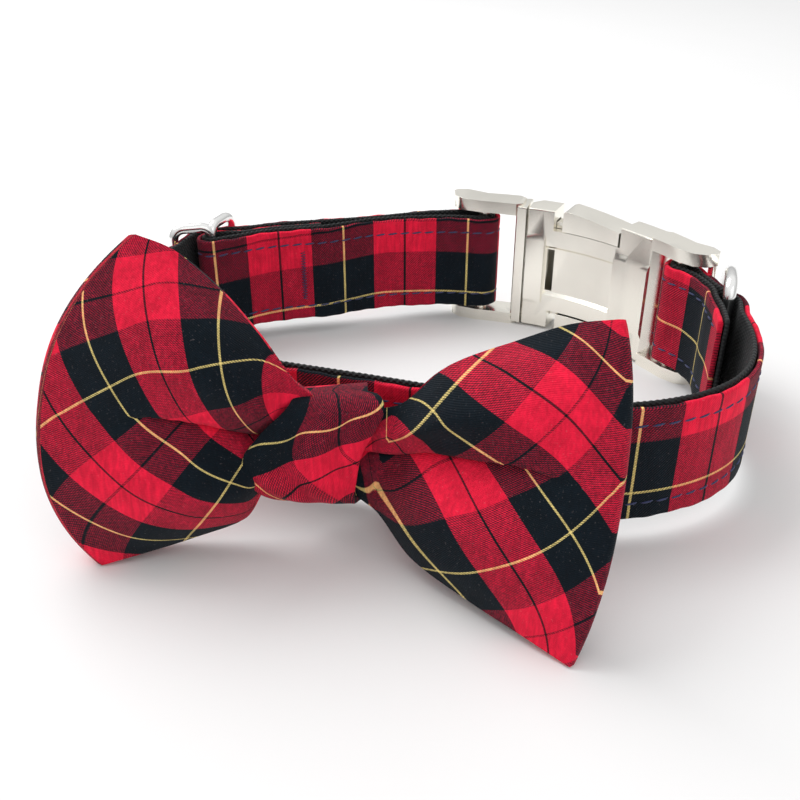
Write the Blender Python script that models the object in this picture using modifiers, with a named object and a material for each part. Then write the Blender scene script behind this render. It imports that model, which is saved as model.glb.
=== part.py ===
"""A dog collar with a bow tie, standing on its metal with the buckle fastened.

Lengths are in metres and +Z is up. The bow faces -Y and the buckle lies towards +X and +Y.
The strap and its metal are laid out on a flat chart first: s runs along the collar's middle
line, out is the distance outside that line, and the chart is then wrapped onto the loop.
"""

import math

import bmesh
import bpy
import numpy as np
from mathutils import Matrix, Vector

# Collar loop
LOOP_LENGTH = 0.132
LOOP_DEPTH = 0.0935
STRAP_WIDTH = 0.025
WEBBING_THICKNESS = 0.0010
COVER_THICKNESS = 0.0010
COVER_MARGIN = 0.0005
CLEARANCE = 0.0003
SEWN_END_LENGTH = 0.028
SPREAD_LENGTH = 0.026
FREE_END_LENGTH = 0.0305
FREE_END_STAND_OFF = 0.0012

# Metal
METAL_HEIGHT = 0.033
SLIDER_BAR_SPACING = 0.0100
SLIDER_FOLD = math.radians(33)
SLIDER_HEIGHT = 0.0315
SLIDER_WIRE = 0.0024
SLIDER_LOBE_RADIUS = 0.0025
SLIDER_ROUNDING = 0.7
BUCKLE_BAR = 0.0032
BUCKLE_RAIL = 0.0030
BUCKLE_END_BAR = 0.0018
BUCKLE_THICKNESS = 0.0080
BUCKLE_BODY_HEIGHT = 0.0318
CLIP_REACH = 0.0160
CLIP_BAR_SETBACK = 0.0085
CLIP_SHOULDER = 0.0030
SOCKET_REACH = 0.0118
SOCKET_BAR_SETBACK = 0.0053
SOCKET_LENGTH = 0.0385
SOCKET_WALL = 0.0019
SOCKET_END_CURVE = 0.0020
SOCKET_FACE_STEP = 0.0008
RAISED_HEIGHT = 0.0160
RAISED_CHAMFER = 0.0020
NARROW_BAND = 0.0052
WIDE_BAND = 0.0110
RECESS_LENGTH = 0.0204
RECESS_HEIGHT = 0.0134
RECESS_STEP = 0.0008
DARK_SLOT = 0.0020
ARM_THICKNESS = 0.0030
ARM_DEPTH = 0.0028
PAD_LENGTH = 0.0164
PAD_SETBACK = 0.0098
PAD_TAPER = 0.0020
WINDOW_SETBACK = 0.0072
WINDOW_DEPTH = 0.0050
D_RING_WIRE = 0.0028
D_RING_SIDE = 0.0050
D_RING_CORNER = 0.0035
D_RING_SETBACK = 0.0195
D_RING_SWING = math.radians(22)

# Bow
BOW_LENGTH = 0.100
BOW_HEIGHT = 0.058
BOW_CLOTH = 0.0012
BOW_END_SQUARENESS = 2.4
BOW_END_BULGE = 0.0030
KNOT_WIDTH = 0.0195
KNOT_HEIGHT = 0.0225
KNOT_DEPTH = 0.0110
KNOT_CLOTH = 0.0016
KNOT_CROWN = 0.0012
KNOT_BACK_WIDTH = 0.0121
KNOT_CORNER = 0.55
KNOT_LEAN = math.radians(14)
KNOT_CENTRE_HEIGHT = 0.0195
TAB_WIDTH = 0.010
TAB_HEIGHT = 0.012
TAB_THICKNESS = 0.0014

# Places on the loop, as shares of its length round from the middle of the front
SEAM_PLACE = 0.4545
SLIDER_PLACE = 0.6833
KNOT_PLACE = -0.0330

# Sizes that follow from the ones above
STRAP_THICKNESS = WEBBING_THICKNESS + CLEARANCE + COVER_THICKNESS
LAYER = (STRAP_THICKNESS + CLEARANCE) / 2
SLIDER_WRAP = SLIDER_WIRE / 2 + CLEARANCE + STRAP_THICKNESS / 2
SLIDER_REACH = SLIDER_WIRE / 2 + (SLIDER_BAR_SPACING - SLIDER_WIRE / 2) * math.cos(SLIDER_FOLD)
SLIDER_RISE = (SLIDER_BAR_SPACING - SLIDER_WIRE / 2) * math.sin(SLIDER_FOLD)
BUCKLE_WRAP = BUCKLE_BAR / 2 + CLEARANCE + STRAP_THICKNESS / 2
MIDDLE_HEIGHT = METAL_HEIGHT / 2
STEP = 0.003
RAMP = 2 * STEP
MERGE = 0.00001

# The loop's middle line seen from above: across and deep are shares of half its length and depth
ROUTE = (
    {"across": -0.052, "deep": -0.836},
    {"across": 0.561, "deep": -1.004},
    {"across": 0.879, "deep": -0.790},
    {"across": 0.994, "deep": -0.320},
    {"across": 0.920, "deep": 0.275},
    {"across": 0.636, "deep": 0.770},
    {"across": 0.160, "deep": 0.993},
    {"across": -0.285, "deep": 0.885},
    {"across": -0.630, "deep": 0.770},
    {"across": -0.865, "deep": 0.480},
    {"across": -1.004, "deep": 0.060},
    {"across": -0.818, "deep": -0.390},
    {"across": -0.324, "deep": -0.717},
)

# The bow's front sheet from its left end to its right end. along and forward are shares of the
# bow's length, measured from the knot, up is a share of its height, measured from the floor.
# round_end carries the middle of a row outwards; upper, crease and lower lift the sheet off the
# line between its edges; back_* say how far behind that line the back sheet lies.
BOW_ROWS = (
    {"name": "left_end", "along_top": -0.315, "forward_top": 0.010, "up_top": 0.955,
     "along_low": -0.420, "forward_low": 0.160, "up_low": 0.0065, "round_end": -0.108,
     "upper": 0.020, "crease": 0.022, "lower": 0.020, "crease_at": 0.50,
     "back_top": 0.030, "back_mid": 0.055, "back_low": 0.060},
    {"name": "left_outer", "along_top": -0.262, "forward_top": 0.020, "up_top": 0.930,
     "along_low": -0.340, "forward_low": 0.148, "up_low": 0.040, "round_end": -0.045,
     "upper": 0.062, "crease": 0.056, "lower": 0.060, "crease_at": 0.50,
     "back_top": 0.040, "back_mid": 0.060, "back_low": 0.065},
    {"name": "left_middle", "along_top": -0.192, "forward_top": 0.033, "up_top": 0.835,
     "along_low": -0.250, "forward_low": 0.128, "up_low": 0.075, "round_end": -0.010,
     "upper": 0.092, "crease": 0.050, "lower": 0.082, "crease_at": 0.50,
     "back_top": 0.040, "back_mid": 0.050, "back_low": 0.055},
    {"name": "left_inner", "along_top": -0.126, "forward_top": 0.046, "up_top": 0.690,
     "along_low": -0.162, "forward_low": 0.108, "up_low": 0.122, "round_end": 0.0,
     "upper": 0.062, "crease": 0.004, "lower": 0.048, "crease_at": 0.48,
     "back_top": 0.036, "back_mid": 0.036, "back_low": 0.042},
    {"name": "left_pinch", "along_top": -0.066, "forward_top": 0.064, "up_top": 0.500,
     "along_low": -0.108, "forward_low": 0.074, "up_low": 0.225, "round_end": 0.0,
     "upper": 0.006, "crease": 0.000, "lower": 0.004, "crease_at": 0.48,
     "back_top": 0.026, "back_mid": 0.030, "back_low": 0.028},
    {"name": "middle", "along_top": 0.026, "forward_top": 0.068, "up_top": 0.460,
     "along_low": -0.010, "forward_low": 0.072, "up_low": 0.215, "round_end": 0.0,
     "upper": 0.004, "crease": 0.000, "lower": 0.004, "crease_at": 0.48,
     "back_top": 0.028, "back_mid": 0.030, "back_low": 0.028},
    {"name": "right_pinch", "along_top": 0.122, "forward_top": 0.073, "up_top": 0.448,
     "along_low": 0.077, "forward_low": 0.079, "up_low": 0.190, "round_end": 0.0,
     "upper": 0.006, "crease": 0.000, "lower": 0.006, "crease_at": 0.50,
     "back_top": 0.028, "back_mid": 0.030, "back_low": 0.030},
    {"name": "right_inner", "along_top": 0.205, "forward_top": 0.094, "up_top": 0.620,
     "along_low": 0.140, "forward_low": 0.190, "up_low": 0.085, "round_end": 0.0,
     "upper": 0.056, "crease": -0.012, "lower": 0.048, "crease_at": 0.55,
     "back_top": 0.028, "back_mid": 0.050, "back_low": 0.075},
    {"name": "right_middle", "along_top": 0.302, "forward_top": 0.115, "up_top": 0.715,
     "along_low": 0.226, "forward_low": 0.272, "up_low": 0.046, "round_end": 0.006,
     "upper": 0.080, "crease": 0.024, "lower": 0.066, "crease_at": 0.55,
     "back_top": 0.028, "back_mid": 0.060, "back_low": 0.080},
    {"name": "right_outer", "along_top": 0.392, "forward_top": 0.137, "up_top": 0.780,
     "along_low": 0.310, "forward_low": 0.345, "up_low": 0.030, "round_end": 0.020,
     "upper": 0.058, "crease": 0.050, "lower": 0.055, "crease_at": 0.52,
     "back_top": 0.028, "back_mid": 0.060, "back_low": 0.075},
    {"name": "right_end", "along_top": 0.462, "forward_top": 0.158, "up_top": 0.805,
     "along_low": 0.388, "forward_low": 0.408, "up_low": 0.0065, "round_end": 0.050,
     "upper": 0.018, "crease": 0.018, "lower": 0.018, "crease_at": 0.50,
     "back_top": 0.026, "back_mid": 0.050, "back_low": 0.075},
)


def clear_scene():
    """Remove what the new file holds, so that only the collar is left."""
    for old in list(bpy.data.objects):
        bpy.data.objects.remove(old, do_unlink=True)


def smooth(places, values, place):
    """Read a smooth curve through a table's values that never overshoots them."""
    places = np.asarray(places, dtype=float)
    values = np.asarray(values, dtype=float)
    gaps = np.diff(places)
    slopes = np.diff(values) / gaps
    tangents = np.zeros(len(places))
    for i in range(1, len(places) - 1):
        if slopes[i - 1] * slopes[i] > 0:
            tangents[i] = 2 * slopes[i - 1] * slopes[i] / (slopes[i - 1] + slopes[i])
    tangents[0] = slopes[0]
    tangents[-1] = slopes[-1]
    i = int(np.clip(np.searchsorted(places, place) - 1, 0, len(gaps) - 1))
    t = (place - places[i]) / gaps[i]
    return float(
        (2 * t ** 3 - 3 * t ** 2 + 1) * values[i]
        + (t ** 3 - 2 * t ** 2 + t) * gaps[i] * tangents[i]
        + (3 * t ** 2 - 2 * t ** 3) * values[i + 1]
        + (t ** 3 - t ** 2) * gaps[i] * tangents[i + 1]
    )


def closed_curve(points, count):
    """Sample the smooth closed curve through the given points, by a periodic cubic spline."""
    points = np.asarray(points, dtype=float)
    total = len(points)
    gaps = np.linalg.norm(np.roll(points, -1, axis=0) - points, axis=1)
    system = np.zeros((total, total))
    wanted = np.zeros((total, 2))
    for i in range(total):
        before = gaps[i - 1]
        after = gaps[i]
        system[i, i - 1] += before
        system[i, i] += 2 * (before + after)
        system[i, (i + 1) % total] += after
        wanted[i] = 6 * ((points[(i + 1) % total] - points[i]) / after
                         - (points[i] - points[i - 1]) / before)
    bends = np.linalg.solve(system, wanted)
    samples = []
    for i in range(total):
        j = (i + 1) % total
        gap = gaps[i]
        for k in range(count):
            right = k / count
            left = 1 - right
            samples.append(
                left * points[i] + right * points[j]
                + gap * gap / 6 * ((left ** 3 - left) * bends[i] + (right ** 3 - right) * bends[j])
            )
    return np.array(samples)


class Loop:
    """The collar's middle line, read by the distance s round it from the middle of the front."""

    def __init__(self):
        knots = []
        for row in ROUTE:
            knots.append((row["across"] * LOOP_LENGTH / 2, row["deep"] * LOOP_DEPTH / 2))
        line = closed_curve(knots, 80)
        line = np.vstack([line, line[:1]])
        steps = np.linalg.norm(np.diff(line, axis=0), axis=1)
        self.line = line
        self.reach = np.concatenate([[0.0], np.cumsum(steps)])
        self.length = float(self.reach[-1])

    def on_line(self, s):
        """The point of the middle line at distance s."""
        s = s % self.length
        return np.array([
            np.interp(s, self.reach, self.line[:, 0]),
            np.interp(s, self.reach, self.line[:, 1]),
        ])

    def direction(self, s):
        """The way along the line at distance s."""
        reach = STEP / 2
        chord = self.on_line(s + reach) - self.on_line(s - reach)
        return chord / np.linalg.norm(chord)

    def point(self, s, out, up):
        """The world point of a place on the flat chart."""
        way = self.direction(s)
        spot = self.on_line(s) + np.array([way[1], -way[0]]) * out
        return Vector((spot[0], spot[1], up))


def material(name, colour, roughness, metallic=0.0):
    """A plain finish for one sub-part."""
    finish = bpy.data.materials.new(name)
    finish.use_nodes = True
    shader = finish.node_tree.nodes["Principled BSDF"]
    shader.inputs["Base Color"].default_value = (*colour, 1.0)
    shader.inputs["Roughness"].default_value = roughness
    shader.inputs["Metallic"].default_value = metallic
    return finish


def new_object(name, mesh, collection, finish=None):
    """Link a mesh as a named object, with its own finish."""
    thing = bpy.data.objects.new(name, mesh)
    collection.objects.link(thing)
    if finish is not None:
        thing.data.materials.clear()
        thing.data.materials.append(finish)
    return thing


def round_shading(thing, degrees=40):
    """Shade a rounded piece smooth and keep its real edges sharp."""
    thing.data.shade_smooth()
    thing.data.set_sharp_from_angle(angle=math.radians(degrees))


def evaluated_mesh(thing):
    """The mesh of an object with its modifiers in force."""
    view = bpy.context.evaluated_depsgraph_get()
    return bpy.data.meshes.new_from_object(thing.evaluated_get(view))


def box(name, x, y, z, collection):
    """A box between two limits along each axis."""
    spans = (x, y, z)
    size = [high - low for low, high in spans]
    centre = [(high + low) / 2 for low, high in spans]
    mesh = bpy.data.meshes.new(name)
    shape = bmesh.new()
    bmesh.ops.create_cube(
        shape, size=1.0, matrix=Matrix.Translation(centre) @ Matrix.Diagonal((*size, 1.0)))
    shape.to_mesh(mesh)
    shape.free()
    return new_object(name, mesh, collection)


def rod(name, x, y, radius, half_length, collection):
    """An upright round bar."""
    mesh = bpy.data.meshes.new(name)
    shape = bmesh.new()
    bmesh.ops.create_cone(
        shape, cap_ends=True, segments=16, radius1=radius, radius2=radius,
        depth=2 * half_length, matrix=Matrix.Translation((x, y, 0.0)))
    shape.to_mesh(mesh)
    shape.free()
    return new_object(name, mesh, collection)


def plate(name, outlines, half_depth, collection, rounding=0.0):
    """A flat outline with its holes, given thickness along Z, as a closed mesh.

    A rounding swells the plate's edge by that much at its middle.
    """
    sheet = bpy.data.curves.new(name, "CURVE")
    sheet.dimensions = "2D"
    sheet.fill_mode = "BOTH"
    sheet.extrude = half_depth - rounding
    sheet.bevel_depth = rounding
    sheet.bevel_resolution = 2
    for outline in outlines:
        spline = sheet.splines.new("POLY")
        spline.points.add(len(outline) - 1)
        for point, (x, y) in zip(spline.points, outline):
            point.co = (x, y, 0.0, 1.0)
        spline.use_cyclic_u = True
    holder = bpy.data.objects.new(name, sheet)
    collection.objects.link(holder)
    mesh = evaluated_mesh(holder)
    bpy.data.objects.remove(holder, do_unlink=True)
    bpy.data.curves.remove(sheet)
    shape = bmesh.new()
    shape.from_mesh(mesh)
    bmesh.ops.remove_doubles(shape, verts=shape.verts, dist=MERGE)
    bmesh.ops.dissolve_limit(
        shape, angle_limit=math.radians(0.5), verts=shape.verts, edges=shape.edges)
    bmesh.ops.recalc_face_normals(shape, faces=shape.faces)
    shape.to_mesh(mesh)
    shape.free()
    return new_object(name, mesh, collection)


def boolean(thing, tool, operation, cutters):
    """Join or cut a piece with a hidden tool object."""
    for collection in list(tool.users_collection):
        collection.objects.unlink(tool)
    cutters.objects.link(tool)
    tool.hide_render = True
    tool.display_type = "WIRE"
    step = thing.modifiers.new(tool.name, "BOOLEAN")
    step.operation = operation
    step.object = tool


def bevel(thing, width, segments=2, degrees=35):
    """Round a piece's sharp edges."""
    step = thing.modifiers.new("rounded edges", "BEVEL")
    step.width = width
    step.segments = segments
    step.limit_method = "ANGLE"
    step.angle_limit = math.radians(degrees)
    thing.modifiers.new("flat faces", "TRIANGULATE")


def wrap(thing, loop, place, pitch=0.004):
    """Bake a piece laid out on the flat chart and bend it onto the loop at a place."""
    mesh = evaluated_mesh(thing)
    mesh.transform(thing.matrix_world)
    thing.modifiers.clear()
    thing.matrix_world = Matrix.Identity(4)
    shape = bmesh.new()
    shape.from_mesh(mesh)
    low = min(corner.co.x for corner in shape.verts)
    high = max(corner.co.x for corner in shape.verts)
    cuts = max(int((high - low) / pitch), 1)
    for i in range(1, cuts):
        bmesh.ops.bisect_plane(
            shape, geom=shape.verts[:] + shape.edges[:] + shape.faces[:], dist=MERGE / 10,
            plane_co=(low + (high - low) * i / cuts, 0.0, 0.0), plane_no=(1.0, 0.0, 0.0))
    for corner in shape.verts:
        corner.co = loop.point(place + corner.co.x, corner.co.y, MIDDLE_HEIGHT + corner.co.z)
    bmesh.ops.reverse_faces(shape, faces=shape.faces[:])
    shape.to_mesh(mesh)
    shape.free()
    finish = thing.data.materials[0]
    thing.data = mesh
    mesh.materials.clear()
    mesh.materials.append(finish)
    return thing


def run(stations, s, out):
    """Go straight on the chart to the next station, in short steps."""
    s_from, out_from = stations[-1]
    steps = max(int(math.ceil(abs(s - s_from) / STEP)), 1)
    for i in range(1, steps + 1):
        share = i / steps
        stations.append((s_from + (s - s_from) * share, out_from + (out - out_from) * share))


def fold(stations, s, radius, start, sweep):
    """Turn round a bar that stands at s on the middle line."""
    steps = 10
    for i in range(1, steps + 1):
        angle = start + sweep * i / steps
        stations.append((s + radius * math.cos(angle), radius * math.sin(angle)))


def strap_stations(loop):
    """The strap's middle surface on the chart, from its hidden sewn end to its free end."""
    slider = SLIDER_PLACE * loop.length
    buckle = SEAM_PLACE * loop.length
    reach = buckle_reach()
    clip = buckle + reach["clip_bar"]
    socket = buckle + reach["socket_bar"] + loop.length
    d_ring = socket - D_RING_SETBACK
    crest = SLIDER_WRAP + STRAP_THICKNESS + 2 * CLEARANCE
    slope = math.atan2(crest, SLIDER_REACH + STEP)
    under = SLIDER_RISE - SLIDER_WRAP / math.cos(slope)
    spread = D_RING_WIRE / 2 + CLEARANCE / 2
    stations = [(slider - SEWN_END_LENGTH, -LAYER)]
    run(stations, slider - SLIDER_REACH, -LAYER)
    run(stations, slider - STEP / 3, SLIDER_WRAP)
    stations.append((slider, SLIDER_WRAP))
    fold(stations, slider, SLIDER_WRAP, math.pi / 2, -math.pi)
    run(stations, slider - RAMP, -3 * LAYER)
    run(stations, slider - SEWN_END_LENGTH - CLEARANCE, -3 * LAYER)
    run(stations, slider - SEWN_END_LENGTH - 2 * RAMP, -LAYER)
    run(stations, clip + SPREAD_LENGTH, -LAYER)
    run(stations, clip, -BUCKLE_WRAP)
    fold(stations, clip, BUCKLE_WRAP, -math.pi / 2, -math.pi)
    run(stations, clip + SPREAD_LENGTH, LAYER)
    run(stations, slider - SLIDER_REACH - STEP, LAYER)
    run(stations, slider - SLIDER_REACH, under)
    run(stations, slider - STEP / 3, crest)
    run(stations, slider + STEP / 3, crest)
    run(stations, slider + SLIDER_REACH, under)
    run(stations, slider + SLIDER_REACH + STEP, LAYER)
    run(stations, d_ring - RAMP, LAYER)
    run(stations, d_ring - STEP / 3, LAYER + spread)
    run(stations, d_ring + STEP / 3, LAYER + spread)
    run(stations, d_ring + RAMP, LAYER)
    run(stations, socket - RAMP, LAYER)
    run(stations, socket, BUCKLE_WRAP)
    fold(stations, socket, BUCKLE_WRAP, math.pi / 2, -math.pi)
    run(stations, socket - RAMP, -LAYER)
    run(stations, d_ring + RAMP, -LAYER)
    run(stations, d_ring + STEP / 3, -LAYER - spread)
    run(stations, d_ring - STEP / 3, -LAYER - spread)
    run(stations, socket - FREE_END_LENGTH, -LAYER - spread - FREE_END_STAND_OFF)
    return stations


def beside(stations, distance):
    """The line at a distance to the left of the stations, mitred at each bend."""
    line = np.array(stations)
    moved = []
    for i in range(len(line)):
        before = line[max(i, 1)] - line[max(i, 1) - 1]
        after = line[min(i + 1, len(line) - 1)] - line[min(i + 1, len(line) - 1) - 1]
        before = before / np.linalg.norm(before)
        after = after / np.linalg.norm(after)
        middle = before + after
        middle = middle / np.linalg.norm(middle)
        reach = distance / float(np.dot(middle, before))
        moved.append(line[i] + np.array([-middle[1], middle[0]]) * reach)
    return moved


def ribbon(name, loop, line, half_width, thickness, collection, finish):
    """A band of cloth on edge: an upright open strip along the line, given its thickness."""
    shape = bmesh.new()
    foot = []
    for s, out in line:
        foot.append(shape.verts.new(loop.point(s, out, MIDDLE_HEIGHT - half_width)))
    edges = []
    for i in range(len(foot) - 1):
        edges.append(shape.edges.new((foot[i], foot[i + 1])))
    grown = bmesh.ops.extrude_edge_only(shape, edges=edges)
    top = [item for item in grown["geom"] if isinstance(item, bmesh.types.BMVert)]
    bmesh.ops.translate(shape, verts=top, vec=(0.0, 0.0, 2 * half_width))
    mesh = bpy.data.meshes.new(name)
    shape.to_mesh(mesh)
    shape.free()
    band = new_object(name, mesh, collection, finish)
    wall = band.modifiers.new("cloth", "SOLIDIFY")
    wall.thickness = thickness
    wall.offset = 0.0
    wall.use_even_offset = True
    round_shading(band, 30)
    return band


def build_strap(loop, collection):
    """The webbing and the tartan cover sewn on its outer face."""
    stations = strap_stations(loop)
    webbing_side = -(STRAP_THICKNESS - WEBBING_THICKNESS) / 2
    cover_side = (STRAP_THICKNESS - COVER_THICKNESS) / 2
    webbing = ribbon(
        "strap_webbing", loop, beside(stations, webbing_side), STRAP_WIDTH / 2,
        WEBBING_THICKNESS, collection, material("black webbing", (0.012, 0.013, 0.015), 0.75))
    cover = ribbon(
        "strap_cover", loop, beside(stations, cover_side), STRAP_WIDTH / 2 - COVER_MARGIN,
        COVER_THICKNESS, collection, material("tartan cotton", (0.42, 0.02, 0.04), 0.85))
    return [webbing, cover]


def rounded_rectangle(centre, half_width, half_height, radius, steps=6):
    """The outline of a rectangle with round corners."""
    outline = []
    for turn, (side, end) in enumerate(((1, 1), (-1, 1), (-1, -1), (1, -1))):
        for i in range(steps + 1):
            angle = math.pi / 2 * (turn + i / steps)
            outline.append((
                centre[0] + side * (half_width - radius) + radius * math.cos(angle),
                centre[1] + end * (half_height - radius) + radius * math.sin(angle),
            ))
    return outline


def slider_outline(inset):
    """The slider's outer edge drawn in by a distance: two round lobes at each end, a valley between."""
    full = SLIDER_LOBE_RADIUS + SLIDER_WIRE / 2
    radius = full - inset
    level = SLIDER_HEIGHT / 2 - full
    valley = math.acos(-SLIDER_LOBE_RADIUS / radius)
    arcs = ((SLIDER_BAR_SPACING - SLIDER_LOBE_RADIUS, 0.0, math.pi / 2),
            (SLIDER_LOBE_RADIUS, math.pi / 2, valley))
    steps = 5
    quarter = []
    for middle, start, end in arcs:
        for i in range(steps + 1):
            angle = start + (end - start) * i / steps
            quarter.append((middle + radius * math.cos(angle), level + radius * math.sin(angle)))
    quarter[-1] = (0.0, quarter[-1][1])
    top = quarter + [(-x, z) for x, z in reversed(quarter[:-1])]
    return top + [(x, -z) for x, z in reversed(top)]


def build_slider(loop, collection):
    """The adjuster: three bars and two lobes, its end bars standing out from the middle one."""
    wire = SLIDER_WIRE / 2
    inset = wire * SLIDER_ROUNDING
    slot_half = (SLIDER_BAR_SPACING - SLIDER_WIRE) / 2 + inset
    slots = []
    for side in (-1, 1):
        slots.append(rounded_rectangle(
            (side * SLIDER_BAR_SPACING / 2, 0.0), slot_half,
            SLIDER_HEIGHT / 2 - SLIDER_WIRE + inset, SLIDER_LOBE_RADIUS - wire + inset))
    slider = plate("slider", [slider_outline(inset)] + slots, wire, collection, inset)
    slider.data.transform(Matrix.Rotation(math.pi / 2, 4, "X"))
    slider.data.materials.append(material("polished metal", (0.82, 0.82, 0.80), 0.12, 1.0))
    shape = bmesh.new()
    shape.from_mesh(slider.data)
    bend = 2 * wire
    for place in (-SLIDER_BAR_SPACING + wire, -bend, -wire, wire, bend, SLIDER_BAR_SPACING - wire):
        bmesh.ops.bisect_plane(
            shape, geom=shape.verts[:] + shape.edges[:] + shape.faces[:], dist=MERGE / 10,
            plane_co=(place, 0.0, 0.0), plane_no=(1.0, 0.0, 0.0))
    bmesh.ops.triangulate(shape, faces=shape.faces[:])
    for corner in shape.verts:
        side = math.copysign(1.0, corner.co.x)
        beyond = max(0.0, abs(corner.co.x) - wire)
        lean = SLIDER_FOLD * min(1.0, beyond / (bend - wire))
        kept = abs(corner.co.x) - beyond
        corner.co.x = side * (kept + beyond * math.cos(SLIDER_FOLD) - corner.co.y * math.sin(lean))
        corner.co.y = corner.co.y * math.cos(lean) + beyond * math.sin(SLIDER_FOLD)
    shape.to_mesh(slider.data)
    shape.free()
    wrap(slider, loop, SLIDER_PLACE * loop.length, 2 * SLIDER_HEIGHT)
    round_shading(slider)
    return slider


def buckle_reach():
    """Where the buckle's pieces lie along it, from the seam; the socket is at the low end."""
    body_high = -CLEARANCE / 2
    body_low = body_high - SOCKET_LENGTH
    shoulder_low = CLEARANCE / 2
    shoulder_high = shoulder_low + CLIP_SHOULDER
    return {
        "body_low": body_low,
        "body_high": body_high,
        "shoulder_low": shoulder_low,
        "shoulder_high": shoulder_high,
        "socket_bar": body_low - SOCKET_BAR_SETBACK,
        "clip_bar": shoulder_high + CLIP_BAR_SETBACK,
        "pad_low": body_high - PAD_SETBACK - PAD_LENGTH,
        "pad_high": body_high - PAD_SETBACK,
        "recess_low": body_high - NARROW_BAND - RECESS_LENGTH,
        "recess_high": body_high - NARROW_BAND,
        "cavity_in": SOCKET_WALL + RECESS_STEP - BUCKLE_THICKNESS / 2,
        "cavity_out": BUCKLE_THICKNESS / 2 - SOCKET_WALL,
    }


def ridge(name, low, high, outline, collection):
    """A flat outline of (out, up) points, drawn out along the chart between two places."""
    bar = plate(name, [outline], (high - low) / 2, collection)
    turn = Matrix(((0.0, 0.0, 1.0, (low + high) / 2), (1.0, 0.0, 0.0, 0.0),
                   (0.0, 1.0, 0.0, 0.0), (0.0, 0.0, 0.0, 1.0)))
    bar.data.transform(turn)
    return bar


def strap_frame(name, root, way, reach, setback, closing, cutters, body):
    """The two rails, the fold bar and the outer end bar that hold the strap at one end.

    closing is the length over which the strap's two layers come together behind the fold bar.
    """
    half = METAL_HEIGHT / 2
    bar = BUCKLE_BAR / 2
    depth = BUCKLE_THICKNESS / 2
    end_bar_radius = BUCKLE_END_BAR / 2
    share = (reach - bar - setback - end_bar_radius) / closing
    strap_out = BUCKLE_WRAP + (LAYER - BUCKLE_WRAP) * share
    end_out = strap_out + STRAP_THICKNESS / 2 + CLEARANCE + end_bar_radius
    tip = end_out + end_bar_radius
    profile = [
        (-bar, -depth * 0.5), (0.0, -depth * 0.85), (reach * 0.6, -depth * 0.7),
        (reach - bar, -depth * 0.3), (reach, depth * 0.3), (reach, tip - end_bar_radius),
        (reach - end_bar_radius, tip), (reach - 2 * bar, tip), (reach * 0.5, depth * 0.85),
        (0.0, depth * 0.8), (-bar, depth * 0.5),
    ]
    outline = [(root + way * x, y) for x, y in profile]
    for side, label in ((1, "upper"), (-1, "lower")):
        rail = plate(f"{name}_{label}_rail", [outline], BUCKLE_RAIL / 2, cutters)
        rail.data.transform(Matrix.Translation((0.0, 0.0, side * (half - BUCKLE_RAIL / 2))))
        boolean(body, rail, "UNION", cutters)
    inside = half - BUCKLE_RAIL / 2
    fold_bar = rod(f"{name}_fold_bar", root + way * setback, 0.0, bar, inside, cutters)
    boolean(body, fold_bar, "UNION", cutters)
    end_bar = rod(f"{name}_end_bar", root + way * (reach - bar), end_out,
                  end_bar_radius, inside, cutters)
    boolean(body, end_bar, "UNION", cutters)


def raised_outline(face, foot):
    """A raised band's section: a flat middle with a long chamfer down to each side."""
    middle = RAISED_HEIGHT / 2
    side = middle + RAISED_CHAMFER
    return [(-foot, -side), (-foot, side), (-face, middle), (-face, -middle)]


def build_socket(loop, collection, cutters):
    """The buckle half with the hollow body, the side windows, the raised bands and the recess."""
    at = buckle_reach()
    half = BUCKLE_BODY_HEIGHT / 2
    face = BUCKLE_THICKNESS / 2
    low = at["body_low"]
    high = at["body_high"]
    plain = face - SOCKET_FACE_STEP
    curve = SOCKET_END_CURVE
    outline = [
        (high, -plain), (low + curve, -plain), (low, -plain * 0.3), (low, plain * 0.5),
        (low + curve, face), (high - curve, face), (high, plain * 0.5),
    ]
    socket = plate("buckle_socket", [outline], half, collection)
    socket.data.materials.append(material("satin nickel", (0.80, 0.79, 0.76), 0.24, 1.0))
    bevel(socket, SOCKET_FACE_STEP / 2, 2, 30)
    foot = plain - CLEARANCE
    narrow = ridge("narrow_band", at["recess_high"], high - CLEARANCE,
                   raised_outline(face, foot), cutters)
    boolean(socket, narrow, "UNION", cutters)
    wide = ridge("wide_band", at["recess_low"] - WIDE_BAND, at["recess_low"],
                 raised_outline(face, foot), cutters)
    boolean(socket, wide, "UNION", cutters)
    cavity = box("arm_cavity", (low + curve + SOCKET_WALL, high + curve),
                 (at["cavity_in"], at["cavity_out"]),
                 (-half + BUCKLE_RAIL, half - BUCKLE_RAIL), cutters)
    boolean(socket, cavity, "DIFFERENCE", cutters)
    mouth = RECESS_HEIGHT / 2
    inside = mouth - RECESS_STEP
    recess = ridge("recess", at["recess_low"] + CLEARANCE, at["recess_high"] - CLEARANCE, [
        (-face, -mouth - RECESS_STEP), (-face, mouth + RECESS_STEP),
        (RECESS_STEP - plain, inside), (RECESS_STEP - plain, -inside)], cutters)
    boolean(socket, recess, "DIFFERENCE", cutters)
    slot_high = at["recess_high"] - 2 * CLEARANCE
    slot = box("dark_slot", (slot_high - DARK_SLOT, slot_high), (-face, 0.0),
               (CLEARANCE - inside, inside - CLEARANCE), cutters)
    boolean(socket, slot, "DIFFERENCE", cutters)
    for side, label in ((1, "upper"), (-1, "lower")):
        levels = sorted((side * (half - WINDOW_DEPTH), side * (half + curve)))
        window = box(f"{label}_window", (at["pad_low"] - CLEARANCE, high - WINDOW_SETBACK),
                     (-face - curve, face + curve), levels, cutters)
        boolean(socket, window, "DIFFERENCE", cutters)
    strap_frame("socket", low + curve, -1, SOCKET_REACH + curve, SOCKET_BAR_SETBACK + curve,
                RAMP, cutters, socket)
    wrap(socket, loop, SEAM_PLACE * loop.length)
    round_shading(socket, 30)
    return socket


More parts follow.
